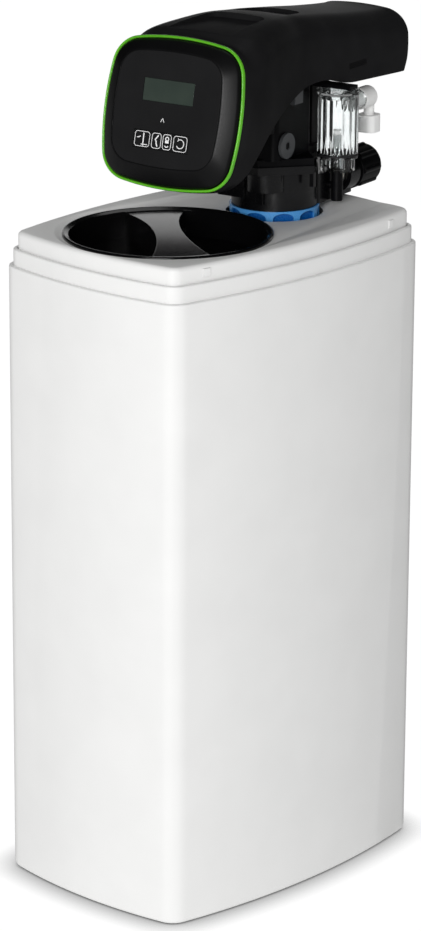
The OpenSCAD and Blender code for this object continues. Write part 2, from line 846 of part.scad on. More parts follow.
module injector_plug() {
    low = flange_z - drum_h;
    hex_r = 4.5;
    hex_deep = 5;
    jet_r = 1.6;
    color(grey) head() difference() {
        rod_z(injector_r - fit_gap / 2, drum_x, drum_y, low, low + injector_depth - over);
        translate([drum_x, drum_y, low - over]) cylinder(r = hex_r, h = hex_deep + over, $fn = 6);
        rod_z(jet_r, drum_x, drum_y, low - over, low + injector_depth);
    }
}

module blend_screw() {
    disc_t = 3.5;
    key_r = 4.6;
    key_deep = 2.4;
    color(grey) head() difference() {
        union() {
            rod_x(blend_r, blend_y, blend_z, column_hw + 0.3, column_hw + 0.3 + disc_t);
            rod_x(blend_pin, blend_y, blend_z, column_hw - blend_deep + over, column_hw + 0.3 + over);
        }
        translate([column_hw + 0.3 + disc_t - key_deep, blend_y, blend_z]) rotate([0, 90, 0])
            cylinder(r = key_r, h = key_deep + over, $fn = 6);
    }
}

module drain_fitting() {
    spigot_out = 30;
    color(black) head() difference() {
        union() {
            rod_x(drain_bore - 0.2, drain_y, drain_z, -manifold_hw - spigot_out, -manifold_hw + 12);
            translate([-manifold_hw - 8, drain_y, drain_z]) rotate([0, 90, 0]) cylinder(r = 11, h = 8, $fn = 6);
        }
        rod_x(drain_bore - 2, drain_y, drain_z, -manifold_hw - spigot_out - over, -manifold_hw + 13);
    }
}

// Union nuts: lobed outside, open at the end
nut_front = manifold_back + 4;
nut_lip_r = 15.5;

module union_nut(x) {
    lobe_r = 4;
    back = nut_front + nut_len;
    color(black) head() difference() {
        union() {
            rod_y(nut_r, x, port_z, nut_front, back);
            for (i = [0:nut_lobes - 1])
                let (a = i * 360 / nut_lobes)
                rod_y(lobe_r, x + (nut_r - 2) * cos(a), port_z + (nut_r - 2) * sin(a), nut_front + 3, back - 3);
        }
        rod_y(port_r + 0.3, x, port_z, nut_front - over, port_end + 0.3);
        rod_y(nut_lip_r, x, port_z, port_end, back + over);
    }
}

module inlet_nut() {
    union_nut(-port_x);
}

module outlet_nut() {
    union_nut(port_x);
}

// Flow meter in the outlet port
cage_front = port_deep + 4;
cage_len = 34;
spider_t = 4;
axle_r = 1.5;

module meter_spider(y) {
    rim = port_bore - 0.2;
    difference() {
        rod_y(rim, port_x, port_z, y, y + spider_t);
        for (i = [0:2])
            translate([port_x, y - over, port_z]) rotate([-90, 0, 0]) rotate(i * 120)
                linear_extrude(spider_t + 2 * over) intersection() {
                    difference() {
                        circle(rim - 1.6);
                        circle(3.2);
                    }
                    polygon([[1.2, 0.7], [20, 0.7], [20, 20], [-9, 17]]);
                }
    }
}

module meter_cage() {
    color(natural) head() {
        meter_spider(cage_front);
        meter_spider(cage_front + cage_len - spider_t);
        rod_y(axle_r, port_x, port_z, cage_front, cage_front + cage_len);
    }
}

module meter_turbine() {
    hub_r = 4;
    blades = 6;
    blade_t = 1.2;
    side_gap = 3;
    front = cage_front + spider_t + side_gap;
    back = cage_front + cage_len - spider_t - side_gap;
    reach = port_bore - 1.5;
    color("#d9d2b8") head() difference() {
        union() {
            rod_y(hub_r, port_x, port_z, front, back);
            for (i = [0:blades - 1])
                translate([port_x, front + 2, port_z]) rotate([-90, 0, 0]) rotate(i * 360 / blades)
                    box([0, -blade_t / 2, 0], [reach, blade_t / 2, back - front - 4]);
        }
        rod_y(axle_r + run_gap, port_x, port_z, front - over, back + over);
    }
}

// Sight chamber beside the manifold
stem_r = 6.5;
stem_top = skirt_z + 34.5;
sight_base_h = 17;
sight_z = stem_top + sight_base_h;
sight_top = sight_z + 1.5 + sight_h;
sight_cap_h = 4.5;

module at_sight() {
    translate([stem_x, stem_y, 0]) children();
}

module sight_stem() {
    color(black) head() {
        at_sight() rod_z(stem_r, 0, 0, skirt_z, stem_top);
        rod_x(nipple_r, stem_y, nipple_z, manifold_hw - 7, stem_x);
    }
}

module sight_base() {
    prongs = 6;
    prong_w = 6;
    plate = 3;
    color(clear) head() at_sight() difference() {
        union() {
            rod_z(sight_r - 3, 0, 0, stem_top, sight_z - plate);
            rod_z(sight_r, 0, 0, sight_z - plate, sight_z);
        }
        difference() {
            rod_z(sight_r - 6, 0, 0, stem_top - over, sight_z - plate);
            rod_z(stem_r + 2, 0, 0, stem_top - over, sight_z);
        }
        for (i = [0:prongs - 1])
            rotate(i * 360 / prongs)
                box([sight_r - 9, -prong_w / 2, stem_top - over], [sight_r, prong_w / 2, sight_z - plate - 2]);
        rod_z(standpipe_r + 0.2, 0, 0, stem_top + 2, sight_z + over);
    }
}

module sight_seal() {
    color(rubber) head() at_sight() ring(sight_r + 0.4, sight_r - 5, sight_z, sight_z + 1.5);
}

collar_r = elbow_r - 1.5;
elbow_z = sight_top - 14;
outlet_bore = 6;
sight_in = sight_r - sight_wall;

module sight_chamber() {
    color(clear) head() at_sight() difference() {
        rod_z(sight_r, 0, 0, sight_z + 1.5, sight_top);
        rod_z(sight_in, 0, 0, sight_z + 1.4, sight_top + over);
        rod_y(outlet_bore, 0, elbow_z, 0, sight_r + over);
    }
}

module sight_cap() {
    teeth = 14;
    tooth_gap = 4.5;
    lid_t = 2.5;
    color(clear) head() at_sight() difference() {
        union() {
            ring(sight_r + 0.8, sight_in + 0.6, sight_top, sight_top + sight_cap_h);
            rod_z(sight_r - 1, 0, 0, sight_top, sight_top + lid_t);
            ring(sight_in - 0.3, sight_in - 2.2, sight_top - 3.5, sight_top + over);
        }
        for (i = [0:teeth - 1])
            rotate(i * 360 / teeth)
                box([sight_in - 2, -tooth_gap / 2, sight_top + lid_t + 0.5],
                    [sight_r + 2, tooth_gap / 2, sight_top + sight_cap_h + over]);
    }
}

standpipe_top = sight_z + 22;
standpipe_bore = standpipe_r - 1.4;

module standpipe() {
    color(clear) head() at_sight() ring(standpipe_r, standpipe_bore, stem_top + 2, standpipe_top);
}

sight_float_lift = 10;
pin_gap = 0.3;

module sight_float() {
    pin_len = sight_float_lift + 4;
    cap_r = 4.2;
    cap_h = 5;
    color(white) head() at_sight() {
        rod_z(standpipe_bore - pin_gap, 0, 0, standpipe_top - pin_len, standpipe_top + over);
        rod_z(cap_r, 0, 0, standpipe_top, standpipe_top + cap_h);
    }
}

// White push-fit elbow on a clear collar, free to swivel
collar_end = sight_r + 20;
elbow_drop_y = 65.5;
elbow_end = elbow_drop_y + 1;
elbow_round = 4.5;
elbow_neck_r = 5.8;
elbow_nut_r = 11;
elbow_nut_h = 19;
elbow_neck_len = 9;
elbow_low = elbow_z - elbow_r - elbow_neck_len - elbow_nut_h;
spigot_turn_r = 8;
swivel_gap = 0.3;

module elbow_collar() {
    seat = sqrt(sight_r * sight_r - collar_r * collar_r);
    color(clear) head() at_sight() difference() {
        rod_y(collar_r, 0, elbow_z, seat, collar_end);
        rod_z(sight_r + 0.05, 0, 0, elbow_z - 2 * elbow_r, elbow_z + 2 * elbow_r);
        rod_y(spigot_turn_r + run_gap, 0, elbow_z, sight_r + 3, collar_end + over);
        rod_y(outlet_bore, 0, elbow_z, 0, collar_end);
    }
}

// Half section of the elbow's body with its far edge rounded
module elbow_half(len) {
    square([elbow_r, len - elbow_round]);
    square([elbow_r - elbow_round, len]);
    intersection() {
        translate([elbow_r - elbow_round, len - elbow_round]) circle(elbow_round);
        square([elbow_r, len]);
    }
}

module brine_elbow() {
    color("#e6e6e4") head() at_sight() difference() {
        union() {
            rod_y(spigot_turn_r, 0, elbow_z, sight_r + 4, collar_end + over);
            translate([0, collar_end + swivel_gap, elbow_z]) rotate([-90, 0, 0])
                rotate_extrude() elbow_half(elbow_end - collar_end - swivel_gap);
            rod_z(elbow_neck_r, 0, elbow_drop_y, elbow_low + elbow_nut_h - 4, elbow_z);
            translate([0, elbow_drop_y, elbow_z]) sphere(elbow_neck_r);
        }
        rod_y(outlet_bore - 1, 0, elbow_z, sight_r, elbow_drop_y);
        rod_z(outlet_bore - 2, 0, elbow_drop_y, elbow_low, elbow_z);
    }
}

module elbow_nut() {
    color("#e6e6e4") head() at_sight() difference() {
        translate([0, elbow_drop_y, elbow_low])
            linear_extrude(elbow_nut_h) round_rect(2 * elbow_nut_r, 2 * elbow_nut_r, 7);
        rod_z(tube_r, 0, elbow_drop_y, elbow_low - over, elbow_low + elbow_nut_h - 3);
        rod_z(elbow_neck_r + 0.1, 0, elbow_drop_y, elbow_low + elbow_nut_h - 4.2, elbow_low + elbow_nut_h + over);
    }
}

// Display face: a frame of its own, leaned back, X right, Y up along the face, Z out of it
face_y = -199.7;
face_rise = 140.4;
face_z = deck_z + face_rise;

function on_face(p) = [p[0],
    face_y + p[1] * sin(face_lean) - p[2] * cos(face_lean),
    face_z + p[1] * cos(face_lean) + p[2] * sin(face_lean)];

module face() {
    head() translate([0, face_y, face_z]) rotate([90 - face_lean, 0, 0]) children();
}

function face_ring(outline, inset, rise, n) =
    [for (p = inset_ring(outline, inset)) [p[0], p[1] + rise, n]];

face_outline = bowed(face_w, face_h, 9, 9, 34, head_steps);
panel_outline = bowed(panel_w, panel_h, 5, 5, 24, head_steps);
panel_rise = 3;
rim_n = -3.2;
lip_t = 1.2;
lip_over = 0.8;
bead_n = rim_n + lip_t;
panel_n = 14;
panel_t = 2.5;
panel_back = panel_n - panel_t;
bead_across = 1.6;
bead_deep = 2.6;
bead_inset = 1.3;
lip_inset = bead_inset + bead_across + 0.6;
collar_deep = 7;
board_n = -10;
board_t = 1.6;

module light_ring() {
    steps = 8;
    color("#6cbf2a") face() loft([for (i = [0:steps - 1])
        let (a = 360 * i / steps - 90)
        face_ring(face_outline, bead_inset - bead_across * cos(a), 0, bead_n + bead_deep + bead_deep * sin(a))], loop = true);
}

module fascia() {
    plug = hood_wall + fit_gap;
    bosses = [[-57, -34], [57, -34], [-57, 34], [57, 34]];
    color(black) face() {
        loft([
            face_ring(face_outline, plug, 0, rim_n - collar_deep),
            face_ring(face_outline, plug, 0, rim_n),
            face_ring(face_outline, lip_over, 0, rim_n),
            face_ring(face_outline, lip_over, 0, bead_n),
            face_ring(face_outline, lip_inset, 0, bead_n),
            face_ring(face_outline, lip_inset, 0, 3),
            face_ring(face_outline, lip_inset + 2.5, 0, 6),
            face_ring(panel_outline, -2.5, panel_rise, panel_n - 0.8),
            face_ring(panel_outline, -0.6, panel_rise, panel_n),
            face_ring(panel_outline, 0, panel_rise, panel_n),
            face_ring(panel_outline, 0, panel_rise, panel_back),
            face_ring(panel_outline, 5, panel_rise, panel_back),
            face_ring(panel_outline, 5, panel_rise, panel_back - 3),
            face_ring(face_outline, lip_inset + 5, 0, 0),
            face_ring(face_outline, plug + 2.4, 0, rim_n - collar_deep)], loop = true);
        for (p = bosses) rod_z(5, p[0], p[1] + panel_rise, board_n + board_t, panel_back - 2);
    }
}

key_gap = 0.6;
key_widths = [21.4, 13, 12, 19.6];
key_row_x = -36;
key_row_y = -30;

function key_left(i) = i == 0 ? key_row_x : key_left(i - 1) + key_widths[i - 1] + key_gap;

key_row_w = key_left(3) + key_widths[3] - key_row_x;
window_y = 22;
key_flange = 1.5;
key_flange_t = 1.4;
switch_top = 3.4;
glass_drop = 0.5;

module display_panel() {
    color(jet) face() difference() {
        loft([face_ring(panel_outline, 0.3, panel_rise, panel_back), face_ring(panel_outline, 0.3, panel_rise, panel_n)]);
        translate([0, window_y, panel_back - over]) linear_extrude(panel_t + 2 * over) square([window_w, window_h], center = true);
        translate([key_row_x - key_gap, key_row_y - key_h / 2 - key_gap, panel_back - over])
            cube([key_row_w + 2 * key_gap, key_h + 2 * key_gap, panel_t + 2 * over]);
    }
}

module lcd_module() {
    frame_w = 20;
    frame_h = 14;
    color("#39423c") face() translate([0, window_y, 0]) {
        translate([0, 0, board_n + board_t])
            linear_extrude(panel_back - 0.3 - board_n - board_t)
                square([window_w + frame_w, window_h + frame_h], center = true);
        translate([0, 0, panel_back - 0.3])
            linear_extrude(panel_t + 0.3 - glass_drop)
                square([window_w - 0.8, window_h - 0.8], center = true);
    }
}

module control_board() {
    board_w = 112;
    board_h = 98;
    color("#1f5a3a") face() {
        translate([0, panel_rise, board_n]) linear_extrude(board_t) square([board_w, board_h], center = true);
        for (i = [0:3])
            translate([key_left(i) + key_widths[i] / 2, key_row_y, board_n + board_t])
                linear_extrude(switch_top - board_n - board_t) square(7, center = true);
    }
}

module key(i) {
    w = key_widths[i];
    x = key_left(i) + w / 2;
    color(jet) face() translate([x, key_row_y, 0]) {
        translate([0, 0, panel_back - 0.3 - key_flange_t])
            linear_extrude(key_flange_t) square([w, key_h + 2 * (key_flange + key_gap)], center = true);
        translate([0, 0, panel_back - 0.4]) linear_extrude(panel_t + 0.4) square([w, key_h], center = true);
        rod_z(2.5, 0, 0, switch_top + key_travel + 0.1, panel_back - 0.3 - key_flange_t + 0.1);
    }
}

module key_1() { key(0); }
module key_2() { key(1); }
module key_3() { key(2); }
module key_4() { key(3); }

// Hood: sections from behind the leaned face to the rounded rear, as
// [y of the middle, top, bottom, lean, width, corner]; heights are above the deck
hood_sections = [
    [-160, 221.5, 58, 9, face_w - 2, 34],
    [-120, 224.5, 60, 6, face_w - 14, 34],
    [-80, 225.5, 62, 3, face_w - 28, 32],
    [-30, 222, 78, 0, face_w - 44, 30],
    [30, 215, 85, 0, face_w - 48, 28],
    [100, 206, 88, 0, face_w - 49.5, 29],
    [160, 200, 92, 0, face_w - 50.5, 30],
    [172, 199.5, 103, 0, face_w - 51, 28],
    [179, 196.5, 116, 0, face_w - 52, 25],
    [183, 190, 129, 0, face_w - 54.5, 20],
    [184.5, 182, 142, 0, face_w - 59, 14]];
hood_bow = 0.04;

// Ring of a hood section, drawn in by a wall
function hood_ring(s, wall) =
    let (h = (s[1] - s[2]) / cos(s[3]),
        mid = deck_z + (s[1] + s[2]) / 2,
        o = bowed(s[4], h, hood_bow * h, hood_bow * s[4], s[5], head_steps))
    [for (p = inset_ring(o, wall)) [p[0], s[0] + p[1] * sin(s[3]), mid + p[1] * cos(s[3])]];

// The skin's rings run from rear to front so that the skin faces outwards
function lip_ring(wall, n) = [for (p = inset_ring(face_outline, wall)) on_face([p[0], p[1], n])];

function mixed(a, b, t) = [for (i = [0:len(a) - 1]) a[i] + (b[i] - a[i]) * t];

hood_outer = concat([lip_ring(0, rim_n), lip_ring(-0.6, rim_n - 10)],
    [for (s = hood_sections) hood_ring(s, 0)]);
hood_inner = concat([lip_ring(hood_wall, rim_n + over), lip_ring(hood_wall, rim_n - 10)],
    [for (i = [0:len(hood_sections) - 3]) hood_ring(hood_sections[i], hood_wall)]);

// Arch under the hood: two curves from the chin to the rear
function bezier(a, b, c, d, n) =
    [for (i = [0:n]) let (t = i / n, s = 1 - t) s * s * s * a + 3 * s * s * t * b + 3 * s * t * t * c + t * t * t * d];

arch_top = 149;
arch = concat(
    bezier([-200, 52], [-168, 112], [-100, arch_top], [-15, arch_top], 12),
    bezier([-15, arch_top], [20, arch_top], [30, 137], [70, 135], 6),
    [[200, 127.5], [200, -20], [-200, -20]]);

// Two finger scoops in the hood's top: [front, back, rise above the deck, lean, half width at front, at back]
scoops = [[-152, -71, 219.3, 0.2, 40, 34], [-45, 12, 222.6, 10.2, 34, 26]];
scoop_round = 12;

function scoop_line(s) =
    let (len = s[1] - s[0], a = s[4], b = s[5], r = scoop_round, c = b + (a - b) * r / len)
    concat([[-a, 0], [a, 0]],
        bezier([c, len - r], [b, len - r * 0.3], [b - r * 0.4, len], [b - r, len], 5),
        bezier([r - b, len], [r * 0.4 - b, len], [-b, len - r * 0.3], [-c, len - r], 5));

rib_rise = 208;
rib_hw = 26;
vent_y = 71;
vent_rise = 154.5;
rear_y = hood_sections[len(hood_sections) - 1][0];
rear_in = hood_sections[len(hood_sections) - 3][0];
socket_x = -28;
socket_z = barrel_z + 4;
socket_r = 5.5;

module across(hw) {
    rotate([90, 0, 90]) linear_extrude(2 * hw, center = true) children();
}

module at_scoop(s) {
    translate([0, s[0], deck_z + s[2]]) rotate([-s[3], 0, 0]) children();
}

module head_hood() {
    deep = 30;
    pan_t = 3;
    edge = 4;
    color(black) head() difference() {
        loft([for (i = [len(hood_outer) - 1:-1:0]) hood_outer[i]]);
        difference() {
            loft([for (i = [len(hood_inner) - 1:-1:0]) hood_inner[i]]);
            for (s = scoops)
                at_scoop(s) box([-s[4] - edge, -edge, -pan_t], [s[4] + edge, s[1] - s[0] + edge, deep]);
            box([-rib_hw, bulk_y - 3, deck_z + rib_rise], [rib_hw, bulk_y + bulk_t + 3, deck_z + rib_rise + deep]);
        }
        for (s = scoops)
            at_scoop(s) linear_extrude(deep) polygon(scoop_line(s));
        translate([0, 0, deck_z]) across(face_w) polygon(arch);
        for (s = [-1, 1])
            translate([s * face_w * 0.36, vent_y, deck_z + vent_rise]) cube([14, 37, 6], center = true);
        rod_y(socket_r + fit_gap, socket_x, socket_z, rear_in - over, rear_y + over);
    }
}

// Drive: a bulkhead behind the display carries the gears and the motor
bulk_y = -112;
bulk_t = 5;
bulk_share = (bulk_y + 120) / 40;
bulk_gap = 0.7;
gear_back = bulk_y - 2;
gear_front = gear_back - gear_w;
drive_r = gear_mod * drive_teeth / 2;
idler_r = gear_mod * idler_teeth / 2;
pinion_r = gear_mod * pinion_teeth / 2;
idler_turn = 200;
pinion_turn = 290;
idler_x = (drive_r + idler_r) * cos(idler_turn);
idler_z = barrel_z + (drive_r + idler_r) * sin(idler_turn);
pinion_x = idler_x + (idler_r + pinion_r) * cos(pinion_turn);
pinion_z = idler_z + (idler_r + pinion_r) * sin(pinion_turn);
hub_r = 11;
idler_pin = 3;
motor_shaft = 1.6;
arm_low = column_z + 31;
arm_high = column_z + 67;

// Phase of a gear that meshes with another in the direction of turn
function mesh_phase(turn, teeth_1, phase_1, teeth_2) =
    turn - 180 + ((turn - phase_1) * teeth_1 / 360 - 0.5) * 360 / teeth_2;

idler_phase = mesh_phase(idler_turn, drive_teeth, 0, idler_teeth);
pinion_phase = mesh_phase(pinion_turn, idler_teeth, idler_phase, pinion_teeth);

// Spur gear with straight flanks, teeth at whole pitches from the phase
module spur(teeth, phase) {
    r = gear_mod * teeth / 2;
    pitch = 360 / teeth;
    tip = r + 0.85 * gear_mod;
    root = r - 1.2 * gear_mod;
    polygon([for (i = [0:teeth - 1]) let (a = i * pitch + phase)
        for (f = [[root, -0.33], [r, -0.215], [tip, -0.1], [tip, 0.1], [r, 0.215], [root, 0.33]])
        f[0] * [cos(a + f[1] * pitch), sin(a + f[1] * pitch)]]);
}

// Gear blank from its back face towards the front
module gear_at(x, z, back, w) {
    translate([x, back, z]) rotate([90, 0, 0]) linear_extrude(w) children();
}

module drive_bracket() {
    section = mixed(hood_ring(hood_sections[1], hood_wall + bulk_gap), hood_ring(hood_sections[2], hood_wall + bulk_gap), bulk_share);
    bulk_low = 135;
    arm_in = 8;
    tab = motor_r + 6;
    color(black) head() difference() {
        union() {
            intersection() {
                translate([0, bulk_y + bulk_t, 0]) rotate([90, 0, 0]) linear_extrude(bulk_t)
                    polygon([for (p = section) [p[0], p[2]]]);
                box([-face_w, bulk_y - over, deck_z + bulk_low], [face_w, bulk_y + bulk_t + over, deck_z + rib_rise]);
            }
            box([pinion_x - tab, bulk_y, pinion_z - tab], [pinion_x + tab, bulk_y + bulk_t, deck_z + bulk_low + over]);
            box([arm_in, bulk_y, arm_low], [column_hw - 2, column_front, arm_high]);
            box([arm_in, bulk_y, arm_high - over], [column_hw - 2, bulk_y + bulk_t, deck_z + bulk_low + over]);
            rod_y(idler_pin, idler_x, idler_z, gear_front - 2, bulk_y + over);
        }
        rod_y(hub_r + run_gap, 0, barrel_z, bulk_y - over, bulk_y + bulk_t + over);
        rod_y(motor_shaft + 1.5, pinion_x, pinion_z, bulk_y - over, bulk_y + bulk_t + over);
    }
}

module drive_motor() {
    motor_len = 40;
    ear = 4;
    back = bulk_y + bulk_t;
    color(steel) head() difference() {
        union() {
            rod_y(motor_r, pinion_x, pinion_z, back, back + motor_len);
            rod_y(motor_r / 3, pinion_x, pinion_z, back + motor_len - over, back + motor_len + 2);
            for (s = [-1, 1])
                rod_y(ear, pinion_x + s * (motor_r + 1), pinion_z, back, back + 2);
        }
        rod_y(motor_shaft + run_gap, pinion_x, pinion_z, back - over, back + 20);
    }
}

module motor_pinion() {
    color(steel) head() {
        gear_at(pinion_x, pinion_z, gear_back, gear_w) spur(pinion_teeth, pinion_phase);
        rod_y(motor_shaft, pinion_x, pinion_z, gear_back - over, bulk_y + bulk_t + 18);
    }
}

module idler_gear() {
    color(natural) head() difference() {
        gear_at(idler_x, idler_z, gear_back, gear_w) spur(idler_teeth, idler_phase);
        rod_y(idler_pin + run_gap, idler_x, idler_z, gear_front - over, gear_back + over);
    }
}

module drive_gear() {
    dish_w = 3;
    color(natural) head() difference() {
        union() {
            gear_at(0, barrel_z, gear_back, gear_w) spur(drive_teeth, 0);
            rod_y(hub_r, 0, barrel_z, gear_front, bulk_y + bulk_t + 3);
        }
        rod_y(rod_r + run_gap, 0, barrel_z, gear_front - over, bulk_y + bulk_t + 4);
        difference() {
            rod_y(drive_r - 6, 0, barrel_z, gear_front - over, gear_front + dish_w);
            rod_y(hub_r, 0, barrel_z, gear_front - 2 * over, gear_front + dish_w + over);
        }
    }
}

// Power inlet in the hood's rear wall and a sensor plug on the column
module power_socket() {
    pin_hole_r = 3;
    color(rubber) head() difference() {
        union() {
            rod_y(socket_r, socket_x, socket_z, rear_in - 10, rear_y + 1.5);
            rod_y(socket_r + 3, socket_x, socket_z, rear_in - 5, rear_in);
        }
        rod_y(pin_hole_r, socket_x, socket_z, rear_y - 6, rear_y + 3);
    }
}

module sensor_plug() {
    color(grey) head() {
        box([column_hw, -32, arm_high - 8], [column_hw + 9, -16, arm_high + 6]);
        box([column_hw, -30, arm_high + 6], [column_hw + 5, -18, arm_high + 9]);
    }
}

cabinet_body();
cabinet_cover();
salt_lid();
overflow_elbow();
overflow_nut();
brine_grommet();
brine_well();
brine_well_cap();
float_rod();
brine_float();
brine_valve();
resin_tank();
tank_foot();
tank_ring();
tank_seal();
riser_tube();
bottom_strainer();
top_strainer();
valve_base();
valve_body();
flange_screws();
barrel_cap();
seal_spacers();
lip_seals();
piston();
piston_rod();
injector_plug();
blend_screw();
drain_fitting();
inlet_nut();
outlet_nut();
meter_cage();
meter_turbine();
sight_stem();
sight_base();
sight_seal();
sight_chamber();
sight_cap();
standpipe();
sight_float();
elbow_collar();
brine_elbow();
elbow_nut();
drive_bracket();
drive_motor();
motor_pinion();
idler_gear();
drive_gear();
control_board();
lcd_module();
display_panel();
fascia();
light_ring();
key_1();
key_2();
key_3();
key_4();
head_hood();
power_socket();
sensor_plug();
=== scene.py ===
"""Cabinet water softener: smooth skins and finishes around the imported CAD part, and its studio."""
import json
import math

import bpy
import numpy as np
from mathutils import Matrix


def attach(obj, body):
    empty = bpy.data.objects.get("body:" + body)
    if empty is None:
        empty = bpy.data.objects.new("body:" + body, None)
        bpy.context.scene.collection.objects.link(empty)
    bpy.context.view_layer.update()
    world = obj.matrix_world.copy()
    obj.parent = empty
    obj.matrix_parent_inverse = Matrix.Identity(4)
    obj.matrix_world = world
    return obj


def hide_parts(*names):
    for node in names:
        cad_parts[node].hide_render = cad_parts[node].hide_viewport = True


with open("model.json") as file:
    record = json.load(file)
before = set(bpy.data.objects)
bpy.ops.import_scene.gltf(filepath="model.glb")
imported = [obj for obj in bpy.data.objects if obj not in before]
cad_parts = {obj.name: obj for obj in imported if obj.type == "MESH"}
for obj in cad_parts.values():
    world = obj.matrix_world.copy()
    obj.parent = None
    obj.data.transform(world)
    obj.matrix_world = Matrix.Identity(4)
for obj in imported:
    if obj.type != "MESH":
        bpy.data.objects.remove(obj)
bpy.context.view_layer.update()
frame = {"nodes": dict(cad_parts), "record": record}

# Salt cabinet: one blow moulded polyethylene shell with bowed walls, a shoulder ledge and a neck.
# White and satin, with the slight waviness that a blown wall keeps. Tongues on its inner shelf
# hold the cover.
MM = 0.001
BODY_OF = {node: body for body, nodes in frame["record"]["behaviour"]["bodies"].items() for node in nodes}
SLOT_OF = {part["node"]: part["material_slot"] for part in frame["record"]["subparts"]}
CABINET_W, CABINET_D = 294, 415
SIDE_BOW, FRONT_BOW, CABINET_CORNER = 22, 14, 24
LEDGE_Z, RIM_Z, DECK_Z, SHELF_Z = 690, 708, 723, 697
FOOT_ROUND, LEDGE_ROUND, NECK_STEP, WALL = 7, 1.6, 4.8, 4
NECK_IN, SHELF_IN, SHELF_T, SHELF_FOOT = 8.8, 16.8, 4, 680.2
TONGUE_TURN, TONGUE_W, TONGUE_T = math.radians(9.8), 9, 2
BARB_LOW, BARB_HIGH, BARB_OUT = 713, 721.5, 4.6
COVER_INSET, SKIRT_T = 10.2, 3.2


def bowed_outline(width, depth, side_bow, end_bow, corner, arc, turn):
    """Closed outline of four shallow arcs joined by round corners. Each row is an arc's centre, its
    radius and a direction, so a ring drawn in by d is centre + (radius - d) x direction."""
    side_r = ((depth / 2 - end_bow) ** 2 + side_bow ** 2) / (2 * side_bow)
    end_r = ((width / 2 - side_bow) ** 2 + end_bow ** 2) / (2 * end_bow)
    side_c = np.array([width / 2 - side_r, 0.0])
    end_c = np.array([0.0, depth / 2 - end_r])
    span = np.hypot(*(end_c - side_c))
    unit = (end_c - side_c) / span
    along = ((side_r - corner) ** 2 - (end_r - corner) ** 2 + span ** 2) / (2 * span)
    across = math.sqrt((side_r - corner) ** 2 - along ** 2)
    corner_c = side_c + along * unit + across * np.array([-unit[1], unit[0]])
    side_a = math.atan2(*(corner_c - side_c)[::-1])
    end_a = math.atan2(*(corner_c - end_c)[::-1])
    angle = np.concatenate([np.linspace(0, side_a, arc, endpoint=False),
                            np.linspace(side_a, end_a, turn, endpoint=False),
                            np.linspace(end_a, math.pi / 2, arc + 1)])
    counts = [arc, turn, arc + 1]
    rows = np.column_stack([np.repeat([side_c, corner_c, end_c], counts, axis=0),
                            np.repeat([side_r, corner, end_r], counts),
                            np.cos(angle), np.sin(angle)])
    rows = np.vstack([rows, rows[-2::-1] * [-1, 1, 1, -1, 1]])
    return np.vstack([rows, rows[-2:0:-1] * [1, -1, 1, 1, -1]])


def level_rings(outline, profile):
    """One ring for each [inset, height] of a profile: the outline drawn in, at that height."""
    profile = np.asarray(profile, float)[:, None, :]
    flat = outline[None, :, 0:2] + (outline[None, :, 2:3] - profile[:, :, 0:1]) * outline[None, :, 3:5]
    height = np.broadcast_to(profile[:, :, 1:2], flat.shape[:2] + (1,))
    return np.concatenate([flat, height], 2)


def round_over(inset, low, radius, steps=6):
    """Quarter round at a top edge: inset + r (1 - cos t) and low + r sin t."""
    t = np.linspace(0, math.pi / 2, steps + 1)
    return np.stack([inset + radius * (1 - np.cos(t)), low + radius * np.sin(t)], 1)


def skin(rings, closed=False):
    """Quads between each ring and the next, with flat ends, or joined round into a loop."""
    count, points = rings.shape[:2]
    ring, point = np.meshgrid(np.arange(count - (not closed)), np.arange(points), indexing="ij")
    after, beside = (ring + 1) % count, (point + 1) % points
    quads = np.stack([ring * points + point, ring * points + beside,
                      after * points + beside, after * points + point], -1)
    faces = quads.reshape(-1, 4).tolist()
    if not closed:
        last = (count - 1) * points
        faces += [list(range(points))[::-1], list(range(last, last + points))]
    return rings.reshape(-1, 3), faces


def joined(*solids):
    """Several solids as one list of points and faces, each face's numbers moved past the points before it."""
    starts = np.cumsum([0] + [len(points) for points, _ in solids])
    faces = [[i + int(start) for i in face] for (_, some), start in zip(solids, starts) for face in some]
    return np.concatenate([points for points, _ in solids]), faces


def block(low, high):
    """Box between two corners: its footprint at two heights."""
    (x0, y0, z0), (x1, y1, z1) = low, high
    foot = np.array([[x0, y0], [x1, y0], [x1, y1], [x0, y1]], float)
    return skin(np.stack([np.column_stack([foot, np.full(4, z)]) for z in (z0, z1)]))


def solid_object(name, solid):
    """Mesh object from points in millimetres and faces, at the origin, in metres."""
    mesh = bpy.data.meshes.new(name)
    mesh.from_pydata((np.asarray(solid[0]) * MM).tolist(), [], solid[1])
    made = bpy.data.objects.new(name, mesh)
    bpy.context.scene.collection.objects.link(made)
    return made


def by_edges(obj, degrees=30):
    """Smooth shading, with a crease wherever two faces meet at more than the angle."""
    obj.data.shade_smooth()
    obj.data.set_sharp_from_angle(angle=math.radians(degrees))


def carve(obj, *cutters):
    """Takes each cutter's solid out of a piece for good."""
    for number, cutter in enumerate(cutters):
        cut = obj.modifiers.new(f"cut_{number}", "BOOLEAN")
        cut.object = cutter
        cut.solver = "EXACT"
    shape = obj.evaluated_get(bpy.context.evaluated_depsgraph_get())
    carved = bpy.data.meshes.new_from_object(shape)
    obj.modifiers.clear()
    obj.data = carved
    for cutter in cutters:
        bpy.data.objects.remove(cutter)


def srgb(code):
    """Linear colour of an sRGB hex value."""
    part = np.array([int(code[i:i + 2], 16) for i in (1, 3, 5)]) / 255
    linear = np.where(part <= 0.04045, part / 12.92, ((part + 0.055) / 1.055) ** 2.4)
    return (*linear.tolist(), 1.0)


